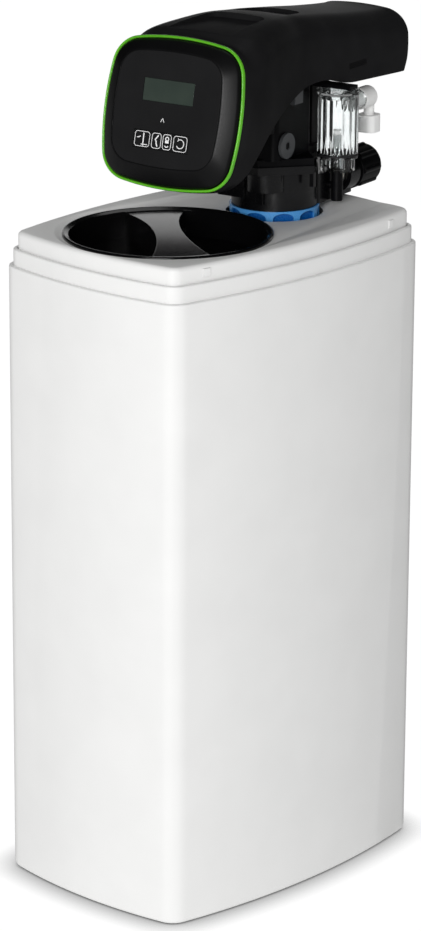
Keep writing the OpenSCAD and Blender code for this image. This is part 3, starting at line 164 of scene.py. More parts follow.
def add_node(tree, kind, inputs, **settings):
    """Adds a shader node: settings are its own properties, inputs are constants or sockets to link."""
    made = tree.nodes.new("ShaderNode" + kind)
    for name, value in settings.items():
        setattr(made, name, value)
    for name, value in inputs.items():
        if isinstance(value, bpy.types.NodeSocket):
            tree.links.new(value, made.inputs[name])
        else:
            made.inputs[name].default_value = value
    return made


def moulded(name, dark, light, rough, grain, depth, drift=45, edge=0.5, **constants):
    """Moulded plastic: its tone drifts between two close colours over some centimetres, a grain of
    the given size and depth in mm comes from the mould, and edges have a small radius in mm."""
    material = bpy.data.materials.new(name)
    material.use_nodes = True
    tree = material.node_tree
    tree.nodes.clear()
    place = add_node(tree, "TexCoord", {}).outputs["Object"]
    slow = add_node(tree, "TexNoise", {"Vector": place, "Scale": 1 / (drift * MM), "Detail": 2.0})
    tone = add_node(tree, "ValToRGB", {"Fac": slow.outputs["Fac"]})
    for end, (spot, code) in zip(tone.color_ramp.elements, ((0.3, dark), (0.7, light))):
        end.position = spot
        end.color = srgb(code)
    fine = add_node(tree, "TexNoise", {"Vector": place, "Scale": 1 / (grain * MM), "Detail": 3.0})
    gloss = add_node(tree, "MapRange", {"Value": fine.outputs["Fac"], "From Min": 0.3, "From Max": 0.7,
                                        "To Min": rough - 0.04, "To Max": rough + 0.04})
    eased = add_node(tree, "Bevel", {"Radius": edge * MM}, samples=4)
    bumps = add_node(tree, "Bump", {"Height": fine.outputs["Fac"], "Distance": depth * MM,
                                    "Strength": 1.0, "Normal": eased.outputs["Normal"]})
    body = add_node(tree, "BsdfPrincipled", {"Base Color": tone.outputs["Color"],
                                             "Roughness": gloss.outputs["Result"],
                                             "Normal": bumps.outputs["Normal"], **constants})
    add_node(tree, "OutputMaterial", {"Surface": body.outputs["BSDF"]})
    return material


def settle(obj, material, *nodes, body=None, slot=None):
    """Gives a piece its material and says which body it rides and which nodes it stands for; slot is not
    used.
    """
    obj.data.materials.clear()
    obj.data.materials.append(material)
    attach(obj, body or BODY_OF[nodes[0]])
    if nodes:
        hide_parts(*nodes)
    return obj


# Blown polyethylene is soft and satin: light spreads in it, and the wall waves over some 60 mm.
polyethylene = moulded("blow_moulded_polyethylene", "#efefee", "#f2f2f1", 0.5, 2.6, 0.03, drift=60, edge=0.8,
                       **{"IOR": 1.5, "Specular IOR Level": 0.4})
cabinet_line = bowed_outline(CABINET_W, CABINET_D, SIDE_BOW, FRONT_BOW, CABINET_CORNER, 26, 10)
sweep = np.linspace(0, math.pi / 2, 8)
foot_profile = np.stack([FOOT_ROUND * (1 - np.sin(sweep)), FOOT_ROUND * (1 - np.cos(sweep))], 1)
cabinet_profile = np.vstack([
    foot_profile, round_over(0, LEDGE_Z - LEDGE_ROUND, LEDGE_ROUND), [[NECK_STEP, LEDGE_Z]],
    round_over(NECK_STEP, RIM_Z - LEDGE_ROUND, LEDGE_ROUND),
    [[NECK_IN, RIM_Z], [NECK_IN, SHELF_Z], [SHELF_IN, SHELF_Z], [SHELF_IN, SHELF_Z - SHELF_T],
     [WALL, SHELF_FOOT], [WALL, 10], [10, WALL]]])
side_arc = ((CABINET_D / 2 - FRONT_BOW) ** 2 + SIDE_BOW ** 2) / (2 * SIDE_BOW)


def on_sides(solid):
    """Four copies of a solid in the side wall's frame, X outwards, at the same turn along both walls."""
    points, faces = solid
    copies = []
    for side in (0, math.pi):
        for turn in (-TONGUE_TURN, TONGUE_TURN):
            c, s = math.cos(turn), math.sin(turn)
            out, along = points[:, 0] + side_arc, points[:, 1]
            flat = np.stack([CABINET_W / 2 - side_arc + c * out - s * along, s * out + c * along], 1)
            copies.append((np.column_stack([flat * math.cos(side), points[:, 2]]), faces))
    return joined(*copies)


tongue_x = -COVER_INSET - SKIRT_T - 0.4
hook = np.array([[-TONGUE_T, SHELF_Z - 1], [0, SHELF_Z - 1], [0, BARB_LOW], [BARB_OUT, BARB_LOW],
                 [BARB_OUT, BARB_HIGH], [-TONGUE_T, BARB_HIGH]])
tongue = skin(np.stack([np.column_stack([tongue_x + hook[:, 0], np.full(6, y), hook[:, 1]])
                        for y in (TONGUE_W / 2, -TONGUE_W / 2)]))
shell = skin(level_rings(cabinet_line, cabinet_profile))
cabinet = solid_object("cabinet_shell", joined(shell, on_sides(tongue)))
by_edges(cabinet)
settle(cabinet, polyethylene, "cabinet_body")

# Cover: the upper tier of the same white plastic. A shallow pan in its deck holds the round lid opening and
# the valve's hole, and runs out at the back. Its skirt stands on the shelf, and the tongues' barbs catch in
# four small windows.
COVER_ROUND, DECK_T = 5, 4
LID_Y, LID_HOLE_R = -73, 108.6
TANK_Y, VALVE_HOLE_R, DISH_R, DISH_DEPTH = 95, 53.25, 66.25, 3
PAN_DEPTH = 3.5
PAN_SPOTS = np.array([[LID_Y, 113.4, 9], [TANK_Y, DISH_R, 24], [CABINET_D / 2, 50, 65]])
WINDOW_GAP = 0.15


def turned(profile, x, y, steps=128):
    """Solid of revolution with flat ends: a circle of each [radius, height] round an upright axis."""
    around = np.linspace(0, 2 * math.pi, steps, endpoint=False)
    profile = np.asarray(profile, float)
    rings = np.stack([x + profile[:, 0:1] * np.cos(around), y + profile[:, 0:1] * np.sin(around),
                      np.broadcast_to(profile[:, 1:2], (len(profile), steps))], 2)
    return skin(rings)


def pan_rings(steps=160):
    """Rings of the pan: at each level the line drawn tight round three circles on the middle line, which is
    the circle that reaches farthest in each direction. The circles widen with the slope of half a cosine
    wave, so that the floor runs smoothly up to the deck's edge, and a last ring closes the cutter above."""
    around = (np.arange(steps) + 0.5) * 2 * math.pi / steps
    share = np.linspace(0, 1, 10)
    radius = PAN_SPOTS[:, 1] + np.append(share, 1.0)[:, None] * PAN_SPOTS[:, 2]
    height = DECK_Z + PAN_DEPTH * np.append((1 - np.cos(math.pi * share)) / 2, 3.0)
    reach = PAN_SPOTS[:, 0] * np.sin(around)[None, :, None] + radius[:, None, :]
    far = reach.argmax(2)
    wide = np.take_along_axis(radius, far, 1)
    return np.stack([wide * np.cos(around), PAN_SPOTS[far, 0] + wide * np.sin(around),
                     np.broadcast_to(height[:, None], wide.shape)], 2)


inner_skirt = COVER_INSET + SKIRT_T
cover_profile = np.vstack([[[inner_skirt, DECK_Z - DECK_T], [inner_skirt, SHELF_Z], [COVER_INSET, SHELF_Z]],
                           round_over(COVER_INSET, DECK_Z + PAN_DEPTH - COVER_ROUND, COVER_ROUND, 8)])
cover = solid_object("cover_shell", skin(level_rings(cabinet_line, cover_profile)))
window = block((-inner_skirt - 1, -TONGUE_W / 2 - WINDOW_GAP, BARB_LOW - WINDOW_GAP),
               (-COVER_INSET + 1, TONGUE_W / 2 + WINDOW_GAP, BARB_HIGH + WINDOW_GAP))
carve(cover, solid_object("pan_cut", skin(pan_rings())),
      solid_object("lid_cut", joined(turned([[LID_HOLE_R, DECK_Z - 20], [LID_HOLE_R, DECK_Z + 5]], 0, LID_Y),
                                     on_sides(window))),
      solid_object("valve_cut", turned([[VALVE_HOLE_R, DECK_Z - 20], [VALVE_HOLE_R, DECK_Z - DISH_DEPTH],
                                        [DISH_R, DECK_Z], [DISH_R, DECK_Z + 5]], 0, TANK_Y, 127)))
by_edges(cover)
settle(cover, polyethylene, "cabinet_cover")

# Salt lid: a black injection moulded polypropylene disc that drops into the opening. It has a bead round its
# rim and a faint crown inside it, and two deep lens pockets leave a waisted grip between them.
LID_R, PLUG_R, PLUG_LOW, LID_TOP = 112.6, 108, 693, 726.5
POCKET_R, POCKET_LOW, GRIP_W, LENS_R, LID_WALL = 106, 695, 30, 300, 2
LID_TURN, LID_CROWN, CROWN_R = math.radians(52), 3.4, 104


def lid_prism(outline, low, high):
    """Prism over a flat outline of the lid, turned with its grip."""
    c, s = math.cos(LID_TURN), math.sin(LID_TURN)
    flat = outline @ np.array([[c, s], [-s, c]]) + [0, LID_Y]
    return skin(np.stack([np.column_stack([flat, np.full(len(flat), z)]) for z in (low, high)]))


def lens_edges(widen, steps=40):
    """The two arcs round a pocket: the disc's edge, and the grip's side, which is a larger circle moved by
    the widening."""
    centre, radius = GRIP_W / 2 + LENS_R, LENS_R + widen
    x = (POCKET_R ** 2 + centre ** 2 - radius ** 2) / (2 * centre)
    end = math.sqrt(POCKET_R ** 2 - x ** 2)
    rim = np.linspace(-math.acos(x / POCKET_R), math.acos(x / POCKET_R), 2 * steps)
    side = np.linspace(math.asin(end / radius), -math.asin(end / radius), steps)
    return (POCKET_R * np.stack([np.cos(rim), np.sin(rim)], 1),
            np.stack([centre - radius * np.cos(side), radius * np.sin(side)], 1))


# Black polypropylene from a polished mould: glossy enough to mirror the bright wall where the lid lies flat.
polypropylene = moulded("black_polypropylene", "#09090a", "#0d0d0e", 0.17, 1.4, 0.006, edge=1.0,
                        **{"IOR": 1.49, "Specular IOR Level": 0.3})
crown = np.linspace(CROWN_R, 0.5, 14)
rim_bead = np.array([[0, -1.6], [-0.4, -0.6], [-1.2, -0.1], [-2.2, -0.1], [-3.6, -0.9], [-5.6, -1.9]])
lid_profile = np.vstack([[[PLUG_R, PLUG_LOW], [PLUG_R, DECK_Z], [LID_R, DECK_Z]], rim_bead + [LID_R, LID_TOP],
                         np.stack([crown, LID_TOP - 0.1 - LID_CROWN * (crown / CROWN_R) ** 2], 1)])
lid = solid_object("lid_disc", turned(lid_profile, 0, LID_Y, 160))
rim_edge, grip_edge = lens_edges(0)
pocket = np.vstack([rim_edge, grip_edge[1:-1]])
_, rib_edge = lens_edges(LID_WALL)
under = np.vstack([rib_edge[::-1], -rib_edge[::-1]])
carve(lid, solid_object("pocket_cut", joined(lid_prism(pocket, POCKET_LOW, LID_TOP + 5),
                                             lid_prism(-pocket, POCKET_LOW, LID_TOP + 5))),
      solid_object("under_cut", lid_prism(under, PLUG_LOW - 1, DECK_Z - 1)))
by_edges(lid, 40)
settle(lid, polypropylene, "salt_lid")

# Fittings on the cabinet's back: the black overflow elbow with its nut inside, and the rubber grommet
# that the brine tube passes through.


def dressed(node, material, ease=0.0, degrees=32):
    """A welded copy of a CAD node: equal corners become one, so that turned faces shade smooth. Its
    edges are eased by a bevel of the given width in mm."""
    source = frame["nodes"][node].data
    source.calc_loop_triangles()
    corners = np.empty(len(source.vertices) * 3)
    source.vertices.foreach_get("co", corners)
    triples = np.empty(len(source.loop_triangles) * 3, int)
    source.loop_triangles.foreach_get("vertices", triples)
    welded, number = np.unique(np.round(corners.reshape(-1, 3), 6), axis=0, return_inverse=True)
    triples = number.reshape(-1)[triples].reshape(-1, 3)
    whole = (np.sort(triples, 1)[:, 1:] != np.sort(triples, 1)[:, :-1]).all(1)
    made = solid_object(node + "_skin", (welded / MM, triples[whole].tolist()))
    by_edges(made, degrees)
    if ease:
        bevel = made.modifiers.new("eased_edges", "BEVEL")
        bevel.width = ease * MM
        bevel.segments = 2
        bevel.limit_method = "ANGLE"
        bevel.angle_limit = math.radians(degrees + 10)
        bevel.harden_normals = True
    return settle(made, material, node)


# Rubber is dull and slightly grey, with a mould's faint grain.
rubber = moulded("moulded_rubber", "#17171a", "#1f1f21", 0.62, 1.2, 0.03, edge=0.3, **{"IOR": 1.52})
dressed("overflow_elbow", polypropylene)
dressed("overflow_nut", polypropylene)
dressed("brine_grommet", rubber)

# Brine well inside the cabinet: an extruded tube with slots at its foot, a cap, and a float on its rod
# over the air check cage. Natural and white polypropylene.
# Natural polypropylene is a milky cream. White acetal is brighter, with a soft sheen.
natural = moulded("natural_polypropylene", "#d9d5c8", "#e4e0d4", 0.42, 1.6, 0.03, **{"IOR": 1.49})
white_fitting = moulded("white_acetal", "#f6f6f5", "#fafaf9", 0.34, 1.2, 0.02, edge=0.7,
                        **{"IOR": 1.48, "Specular IOR Level": 0.45})
for node in ("brine_well", "float_rod", "brine_valve"):
    dressed(node, natural)
for node in ("brine_well_cap", "brine_float"):
    dressed(node, white_fitting)

# Resin tank: glass fibre wound over a polyethylene liner, standing in a black rubber foot, with the
# riser tube and its strainers inside and a seal on its neck.
# Wound glass fibre shows its turns as a coarse blue grey pattern under clear resin.
fibre = moulded("wound_glass_fibre", "#6d7f90", "#8798a8", 0.4, 6.0, 0.3, drift=12, **{"IOR": 1.5})
dressed("resin_tank", fibre)
for node in ("tank_foot", "tank_seal"):
    dressed(node, rubber)
for node in ("riser_tube", "bottom_strainer", "top_strainer"):
    dressed(node, natural)

# Neck ring: a blue moulded polypropylene ring with ten arched finger notches, screwed on the tank's neck
# under the valve's skirt.
RING_R, RING_IN, RING_LOW, RING_TOP = 49.25, 40.9, 712, 729.5
NOTCHES, NOTCH_HALF, NOTCH_DEEP, NOTCH_SPRING, NOTCH_RISE = 10, 11.4, 5, 721.5, 6


def notch(angle, steps=24):
    """Prism along a radius with an arched outline: upright sides, and half an ellipse over them."""
    over = np.linspace(0, math.pi, steps)
    across = np.concatenate([NOTCH_HALF * np.cos(over), [-NOTCH_HALF, NOTCH_HALF]])
    height = np.concatenate([NOTCH_SPRING + NOTCH_RISE * np.sin(over), [RING_LOW - 1, RING_LOW - 1]])
    c, s = math.cos(angle), math.sin(angle)
    return skin(np.stack([np.column_stack([c * r - s * across, s * r + c * across + TANK_Y, height])
                          for r in (RING_R - NOTCH_DEEP, RING_R + 2)]))


# Blue polypropylene is glossy and slightly milky. Its tone goes by the distance from the tank's axis, as
# painted
# light: a painted highlight makes the lands pale, and painted shade makes the hollows deep blue.
blue_ring = moulded("blue_polypropylene", "#0a5cab", "#5aa8e8", 0.28, 1.5, 0.02, edge=0.6,
                    **{"IOR": 1.49, "Specular IOR Level": 0.6})
tree = blue_ring.node_tree
place = add_node(tree, "TexCoord", {}).outputs["Object"]
from_axis = add_node(tree, "VectorMath", {0: place, 1: (0, TANK_Y * MM, 0)}, operation="SUBTRACT")
level = add_node(tree, "VectorMath", {0: from_axis.outputs["Vector"], 1: (1, 1, 0)}, operation="MULTIPLY")
radius = add_node(tree, "VectorMath", {0: level.outputs["Vector"]}, operation="LENGTH")
# Painted highlight and shade: pale at the ring's outer face, deep blue in the notches' hollows.
painted_highlight_and_shade = add_node(tree, "MapRange", {"Value": radius.outputs["Value"], "From Min": (RING_R - 3) * MM,
                                   "From Max": (RING_R - 0.5) * MM, "To Min": 0.3, "To Max": 0.62})
tone = next(node for node in tree.nodes if node.type == "VALTORGB")
tree.links.new(painted_highlight_and_shade.outputs["Result"], tone.inputs["Fac"])
around = np.linspace(0, 2 * math.pi, 160, endpoint=False)
section = ((RING_R, RING_LOW), (RING_R, RING_TOP), (RING_IN, RING_TOP), (RING_IN, RING_LOW))
band = np.stack([np.column_stack([r * np.cos(around), TANK_Y + r * np.sin(around), np.full(160, z)])
                 for r, z in section])
ring = solid_object("notched_ring", skin(band, closed=True))
carve(ring, solid_object("notch_cuts", joined(*[notch(i * 2 * math.pi / NOTCHES) for i in range(NOTCHES)])))
by_edges(ring)
settle(ring, blue_ring, "tank_ring")

# Control valve: glass filled black moulding in two halves, base and body, screwed together at waisted
# flanges. The seal stack, the piston and its rod are inside the barrel.
HEAD_TURN = math.radians(10)
BLEND_Y, BLEND_Z, KEY_FLOOR, KEY_R = -37, 803.5, 37.4, 4.5
KEY_T, HOUSING_HALF, HOUSING_FROM, HOUSING_TO, HOUSING_LOW, HOUSING_TOP = 1.4, 18, 71, 81, 791, 870


def at_head(points):
    """Points of the control head's frame, turned on the tank's axis, in the object's frame."""
    c, s = math.cos(HEAD_TURN), math.sin(HEAD_TURN)
    x, y, z = np.moveaxis(np.asarray(points, float), -1, 0)
    return np.stack([c * x - s * y, s * x + c * y + TANK_Y, z], -1)


# Glass filled polymer is a dull black with fibres close under its skin. The base, which is moulded against a
# smoother steel, has brighter soft highlights than the body, and the body's copy is a touch darker: painted
# shade for its place under the hood.
filled_nylon = moulded("glass_filled_polymer", "#060608", "#0b0b0d", 0.36, 1.1, 0.02, drift=20, edge=0.8,
                       **{"IOR": 1.53, "Specular IOR Level": 0.14})
lit_base_nylon = moulded("glass_filled_base", "#08080a", "#0e0e10", 0.24, 1.1, 0.01, drift=20, edge=0.8,
                     **{"IOR": 1.53, "Specular IOR Level": 0.5})
dressed("valve_base", lit_base_nylon)
# Grey acetal is even and half matt.
grey_moulding = moulded("grey_acetal", "#4b4d4f", "#56585a", 0.45, 1.2, 0.02, edge=0.4, **{"IOR": 1.48})
# The valve body takes the darker copy, painted shade for where the hood's arch covers it.
for node in ("valve_body", "flange_screws", "barrel_cap", "drain_fitting"):
    dressed(node, filled_nylon)
for node in ("seal_spacers", "piston"):
    dressed(node, natural)
dressed("lip_seals", rubber)
dressed("injector_plug", grey_moulding)
dressed("blend_screw", grey_moulding)
# Two dark solids behind what is seen: a thin black hexagon at the floor of the blending screw's key hole,
# painted shade that makes the hole look deep, and the back of the valve's housing, which stands behind the
# clear chamber.
hexagon = np.radians(np.arange(0, 360, 60))
key_y, key_z = BLEND_Y + KEY_R * np.sin(hexagon), BLEND_Z - KEY_R * np.cos(hexagon)
key_end = np.stack([np.column_stack([np.full(6, x), key_y, key_z]) for x in (KEY_FLOOR, KEY_FLOOR + KEY_T)])
key_hole_shade = solid_object("key_hole_shade", skin(at_head(key_end)))
settle(key_hole_shade, filled_nylon, body=BODY_OF["blend_screw"], slot=SLOT_OF["valve_body"])
housing_points, housing_faces = block((-HOUSING_HALF, HOUSING_FROM, HOUSING_LOW),
                                      (HOUSING_HALF, HOUSING_TO, HOUSING_TOP))
housing = solid_object("rear_housing", (at_head(housing_points), housing_faces))
by_edges(housing)
settle(housing, filled_nylon, body="softener", slot=SLOT_OF["valve_body"])


def rolled_steel(name, dark, light, rough):
    """Drawn steel: bright metal whose tone and gloss run in lines about 1 mm apart along the piece."""
    material = bpy.data.materials.new(name)
    material.use_nodes = True
    tree = material.node_tree
    tree.nodes.clear()
    place = add_node(tree, "TexCoord", {}).outputs["Object"]
    drawn = add_node(tree, "Mapping", {"Vector": place, "Scale": (1.0, 0.08, 1.0)})
    lines = add_node(tree, "TexNoise", {"Vector": drawn.outputs["Vector"], "Scale": 1 / MM, "Detail": 2.0})
    tone = add_node(tree, "ValToRGB", {"Fac": lines.outputs["Fac"]})
    tone.color_ramp.elements[0].color = srgb(dark)
    tone.color_ramp.elements[1].color = srgb(light)
    gloss = add_node(tree, "MapRange", {"Value": lines.outputs["Fac"], "To Min": rough - 0.08,
                                        "To Max": rough + 0.08})
    body = add_node(tree, "BsdfPrincipled", {"Base Color": tone.outputs["Color"], "Metallic": 1.0,
                                             "Roughness": gloss.outputs["Result"]})
    add_node(tree, "OutputMaterial", {"Surface": body.outputs["BSDF"]})
    return material


# Drawn steel is bright along its lines and duller across them.
steel = rolled_steel("drawn_steel", "#a9acb0", "#c9ccd0", 0.32)
dressed("piston_rod", steel)

# Ports at the back: black union nuts with finger lobes on the two ports, and the meter's cage and
# turbine in the outlet.
dressed("inlet_nut", filled_nylon)
dressed("outlet_nut", filled_nylon)
dressed("meter_cage", natural)
dressed("meter_turbine", white_fitting)

# Sight chamber: a clear tube, faintly fluted inside, between a pronged base and a castellated cap, on a black
# stem, with a rubber seal at its foot and a standpipe whose white float shows the flow.
SIGHT_X, SIGHT_Y, SIGHT_R, SIGHT_IN = 52, 45, 22.5, 20.5
SIGHT_LOW, SIGHT_TOP, SIGHT_OUTLET_Z, SIGHT_OUTLET_R = 782.5, 848.5, 834.5, 6
FLUTES, FLUTE_DEEP = 15, 0.8


def clear_plastic(name, tint, rough):
    """Clear moulded plastic: light passes through, and faint flow marks some 8 mm wide change its gloss."""
    material = bpy.data.materials.new(name)
    material.use_nodes = True
    tree = material.node_tree
    tree.nodes.clear()
    place = add_node(tree, "TexCoord", {}).outputs["Object"]
    marks = add_node(tree, "TexNoise", {"Vector": place, "Scale": 1 / (8 * MM), "Detail": 1.0})
    gloss = add_node(tree, "MapRange", {"Value": marks.outputs["Fac"], "To Min": rough * 0.6,
                                        "To Max": rough * 1.4})
    tone = add_node(tree, "ValToRGB", {"Fac": marks.outputs["Fac"]})
    tone.color_ramp.elements[0].color = srgb(tint)
    tone.color_ramp.elements[1].color = srgb("#ffffff")
    body = add_node(tree, "BsdfPrincipled", {"Base Color": tone.outputs["Color"],
                                             "Roughness": gloss.outputs["Result"],
                                             "IOR": 1.5, "Transmission Weight": 1.0})
    add_node(tree, "OutputMaterial", {"Surface": body.outputs["BSDF"]})
    return material


# Clear styrene is water clear, and its edges catch the light.
clear_styrene = clear_plastic("clear_styrene", "#eef3f3", 0.06)
dressed("sight_stem", filled_nylon)
for node in ("sight_base", "sight_cap", "standpipe"):
    dressed(node, clear_styrene)


def fluted_tube(steps=360):
    """Tube whose inner radius is the bore less half of the flutes' depth times 1 - cos of the flutes' angle.
    The flutes stop short of both ends, where the base and the cap sit."""
    around = np.linspace(0, 2 * math.pi, steps, endpoint=False)
    share = np.array([0, 0, 0, 0, 1, 1, 0, 0])[:, None]
    bore = np.repeat([SIGHT_R, SIGHT_IN], [2, 6])[:, None]
    height = np.array([SIGHT_LOW, SIGHT_TOP, SIGHT_TOP, SIGHT_TOP - 4, SIGHT_TOP - 4.6, SIGHT_LOW + 2.6,
                       SIGHT_LOW + 2, SIGHT_LOW])
    radius = bore - share * FLUTE_DEEP / 2 * (1 - np.cos(FLUTES * around))
    rings = np.stack([SIGHT_X + radius * np.cos(around), SIGHT_Y + radius * np.sin(around),
                      np.broadcast_to(height[:, None], radius.shape)], 2)
    return skin(at_head(rings), closed=True)


tube = solid_object("fluted_chamber", fluted_tube())
turn = (np.arange(64) + 0.5) * math.pi / 32
outlet_x, outlet_z = SIGHT_X + SIGHT_OUTLET_R * np.sin(turn), SIGHT_OUTLET_Z + SIGHT_OUTLET_R * np.cos(turn)
outlet = np.stack([np.column_stack([outlet_x, np.full(64, SIGHT_Y + y), outlet_z]) for y in (5, SIGHT_R + 5)])
carve(tube, solid_object("outlet_cut", skin(at_head(outlet))))
by_edges(tube, 40)
settle(tube, clear_styrene, "sight_chamber")
dressed("sight_seal", rubber)
dressed("sight_float", white_fitting)

# Brine elbow: a white acetal push-fit elbow with a square nut on its end. It is clipped over the clear
# collar of the sight chamber and turns on it.
dressed("elbow_collar", clear_styrene)
dressed("brine_elbow", white_fitting)
dressed("elbow_nut", white_fitting)

# Drive behind the display: a bulkhead with a small geared motor, whose pinion and idler turn the drive
# gear. The gears are natural acetal, the motor is in a drawn steel can.
dressed("drive_bracket", filled_nylon)
dressed("drive_motor", steel)
dressed("motor_pinion", steel)
for node in ("idler_gear", "drive_gear"):
    dressed(node, natural)
dressed("sensor_plug", grey_moulding)
dressed("power_socket", rubber)

# Hood: a black ABS moulding that runs back from the display's rim, narrows and falls to a rounded rear.
# An arch opens its underside, two finger scoops are sunk in its top, and louvres close its side vents. It
# snaps over the drive bracket.
FACE_Y, FACE_Z, FACE_LEAN = -199.7, DECK_Z + 140.4, math.radians(12.7)
FACE_W, FACE_H, FACE_BOW, FACE_CORNER = 171, 160, 9, 34
RIM_N, HOOD_WALL, HOOD_BOW = -3.2, 3, 0.04
HOOD_SECTIONS = np.array([
    [-160, 221.5, 58, 9, 169, 34], [-120, 224.5, 60, 6, 157, 34], [-80, 225.5, 62, 3, 143, 32],
    [-30, 222, 78, 0, 127, 30], [30, 215, 85, 0, 123, 28], [100, 206, 88, 0, 121.5, 29],
    [160, 200, 92, 0, 120.5, 30], [172, 199.5, 103, 0, 120, 28], [179, 196.5, 116, 0, 119, 25],
    [183, 190, 129, 0, 116.5, 20], [184.5, 182, 142, 0, 112, 14]])
ARCH_TOP = 149
SCOOPS = ((-152, -71, 219.3, 0.2, 40, 34), (-45, 12, 222.6, 10.2, 34, 26))
SCOOP_ROUND, PAN_T, PAN_EDGE = 12, 3, 4
VENT_X, VENT_Y, VENT_RISE, VENT_LONG, VENT_HIGH, VENT_DEEP = 61.56, 71, 154.5, 37, 6, 7
HEAD_ARC, HEAD_TURNS = 10, 12


def on_face(points):
    """Points [across, up, out] of the leaned display face, in the control head's frame."""
    u, v, n = np.moveaxis(np.asarray(points, float), -1, 0)
    c, s = math.cos(FACE_LEAN), math.sin(FACE_LEAN)
    return np.stack([u, FACE_Y + s * v - c * n, FACE_Z + c * v + s * n], -1)


def hood_ring(section, wall):
    """Outline of one hood section drawn in by the wall, stood upright with its lean."""
    y, top, low, lean, width, corner = section
    lean = math.radians(lean)
    height = (top - low) / math.cos(lean)
    line = bowed_outline(width, height, HOOD_BOW * height, HOOD_BOW * width, corner, HEAD_ARC, HEAD_TURNS)
    flat = line[:, 0:2] + (line[:, 2:3] - wall) * line[:, 3:5]
    return np.column_stack([flat[:, 0], y + flat[:, 1] * math.sin(lean),
                            DECK_Z + (top + low) / 2 + flat[:, 1] * math.cos(lean)])


face_line = bowed_outline(FACE_W, FACE_H, FACE_BOW, FACE_BOW, FACE_CORNER, HEAD_ARC, HEAD_TURNS)


def between(rings, steps):
    """Smooth skin through the rings: cubic between each two, with slopes that never overshoot, which are
    the harmonic mean of the slopes on both sides where those agree in sign and nought elsewhere."""
    gap = np.linalg.norm(np.diff(rings, axis=0), axis=2).mean(1)[:, None, None]
    slope = np.diff(rings, axis=0) / gap
    before, after = slope[:-1], slope[1:]
    agree = before * after > 0
    inner = np.where(agree, 2 * before * after / np.where(agree, before + after, 1), 0)
    tangent = np.concatenate([slope[:1], inner, slope[-1:]])
    t = np.linspace(0, 1, steps, endpoint=False)[None, :, None, None]
    g = gap[:, None]
    p0, p1, m0, m1 = (a[:, None] for a in (rings[:-1], rings[1:], tangent[:-1], tangent[1:]))
    fine = ((2 * t**3 - 3 * t**2 + 1) * p0 + (t**3 - 2 * t**2 + t) * g * m0
            + (3 * t**2 - 2 * t**3) * p1 + (t**3 - t**2) * g * m1)
    return np.concatenate([fine.reshape(-1, *rings.shape[1:]), rings[-1:]])


def hood_solid(sections, wall, front_n, flare):
    """Hood skin from rear to front: the sections, then two rings in the display's plane."""
    lips = [on_face(level_rings(face_line, [[wall - grow, n]])[0])
            for grow, n in ((flare, RIM_N - 10), (0, front_n))]
    rings = np.stack([hood_ring(s, wall) for s in sections[::-1]] + lips)
    return skin(at_head(between(rings, 8)))


def bezier(a, b, c, d, steps):
    """Cubic curve from a to d with handles b and c."""
    t = np.linspace(0, 1, steps + 1)[:, None]
    a, b, c, d = (np.array(p, float) for p in (a, b, c, d))
    return (1 - t)**3 * a + 3 * (1 - t)**2 * t * b + 3 * (1 - t) * t**2 * c + t**3 * d


def along_x(profile, half):
    """Prism across the head: a [y, height] outline from -half to half."""
    y, z = profile[:, 0], DECK_Z + profile[:, 1]
    return skin(at_head(np.stack([np.column_stack([np.full(len(profile), x), y, z]) for x in (-half, half)])))


def scooped(scoop, outline, low, high):
    """Prism square to a scoop's leaned floor over an [x, y] outline, from low to high above that floor."""
    front, _, rise, lean, _, _ = scoop
    c, s = math.cos(math.radians(lean)), math.sin(math.radians(lean))
    rings = np.stack([np.column_stack([outline[:, 0], front + c * outline[:, 1] + s * h,
                                       DECK_Z + rise - s * outline[:, 1] + c * h]) for h in (low, high)])
    return skin(at_head(rings))


def scoop_line(scoop, r=SCOOP_ROUND):
    """Outline of a scoop: straight at the front, narrowing to two round corners at the back."""
    front, back, _, _, wide, narrow = scoop
    far = back - front
    edge = narrow + (wide - narrow) * r / far
    turn = bezier([edge, far - r], [narrow, far - 0.3 * r], [narrow - 0.4 * r, far], [narrow - r, far], 10)
    return np.vstack([[[-wide, 0], [wide, 0]], turn, turn[::-1] * [-1, 1]])


def pan_line(scoop, e=PAN_EDGE):
    """Rectangle round a scoop, wider by the edge on all sides."""
    far, wide = scoop[1] - scoop[0] + e, scoop[4] + e
    return np.array([[-wide, -e], [wide, -e], [wide, far], [-wide, far]], float)


arch_line = np.vstack([bezier([-200, 52], [-168, 112], [-100, ARCH_TOP], [-15, ARCH_TOP], 40),
                       bezier([-15, ARCH_TOP], [20, ARCH_TOP], [30, 137], [70, 135], 24)[1:],
                       [[200, 127.5], [200, -20], [-200, -20]]])[::-1]
# ABS with a fine spark eroded grain: a deep black that turns grey only where a lamp grazes it.
abs_black = moulded("spark_textured_abs", "#1d1d1e", "#222223", 0.45, 1.0, 0.02, edge=0.9,
                    **{"IOR": 1.53, "Specular IOR Level": 0.02})
hood = solid_object("hood_shell", hood_solid(HOOD_SECTIONS, 0, RIM_N, 0.6))
hollow = solid_object("hood_hollow", hood_solid(HOOD_SECTIONS[:-2], HOOD_WALL, RIM_N + 1, 0))
carve(hollow, *[solid_object("scoop_pan", scooped(scoop, pan_line(scoop), -PAN_T, 30)) for scoop in SCOOPS])
vent_half = np.array([VENT_DEEP, VENT_LONG / 2, VENT_HIGH / 2])
vent_mid = np.array([[side * VENT_X, VENT_Y, DECK_Z + VENT_RISE] for side in (-1, 1)])
vents = [block(middle - vent_half, middle + vent_half) for middle in vent_mid]
cuts = [scooped(scoop, scoop_line(scoop), 0, 30) for scoop in SCOOPS]
cuts += [(at_head(points), faces) for points, faces in vents]
carve(hood, hollow, solid_object("arch_cut", along_x(arch_line, FACE_W)),
      solid_object("top_cut", joined(*cuts)))
by_edges(hood, 35)
settle(hood, abs_black, "head_hood")


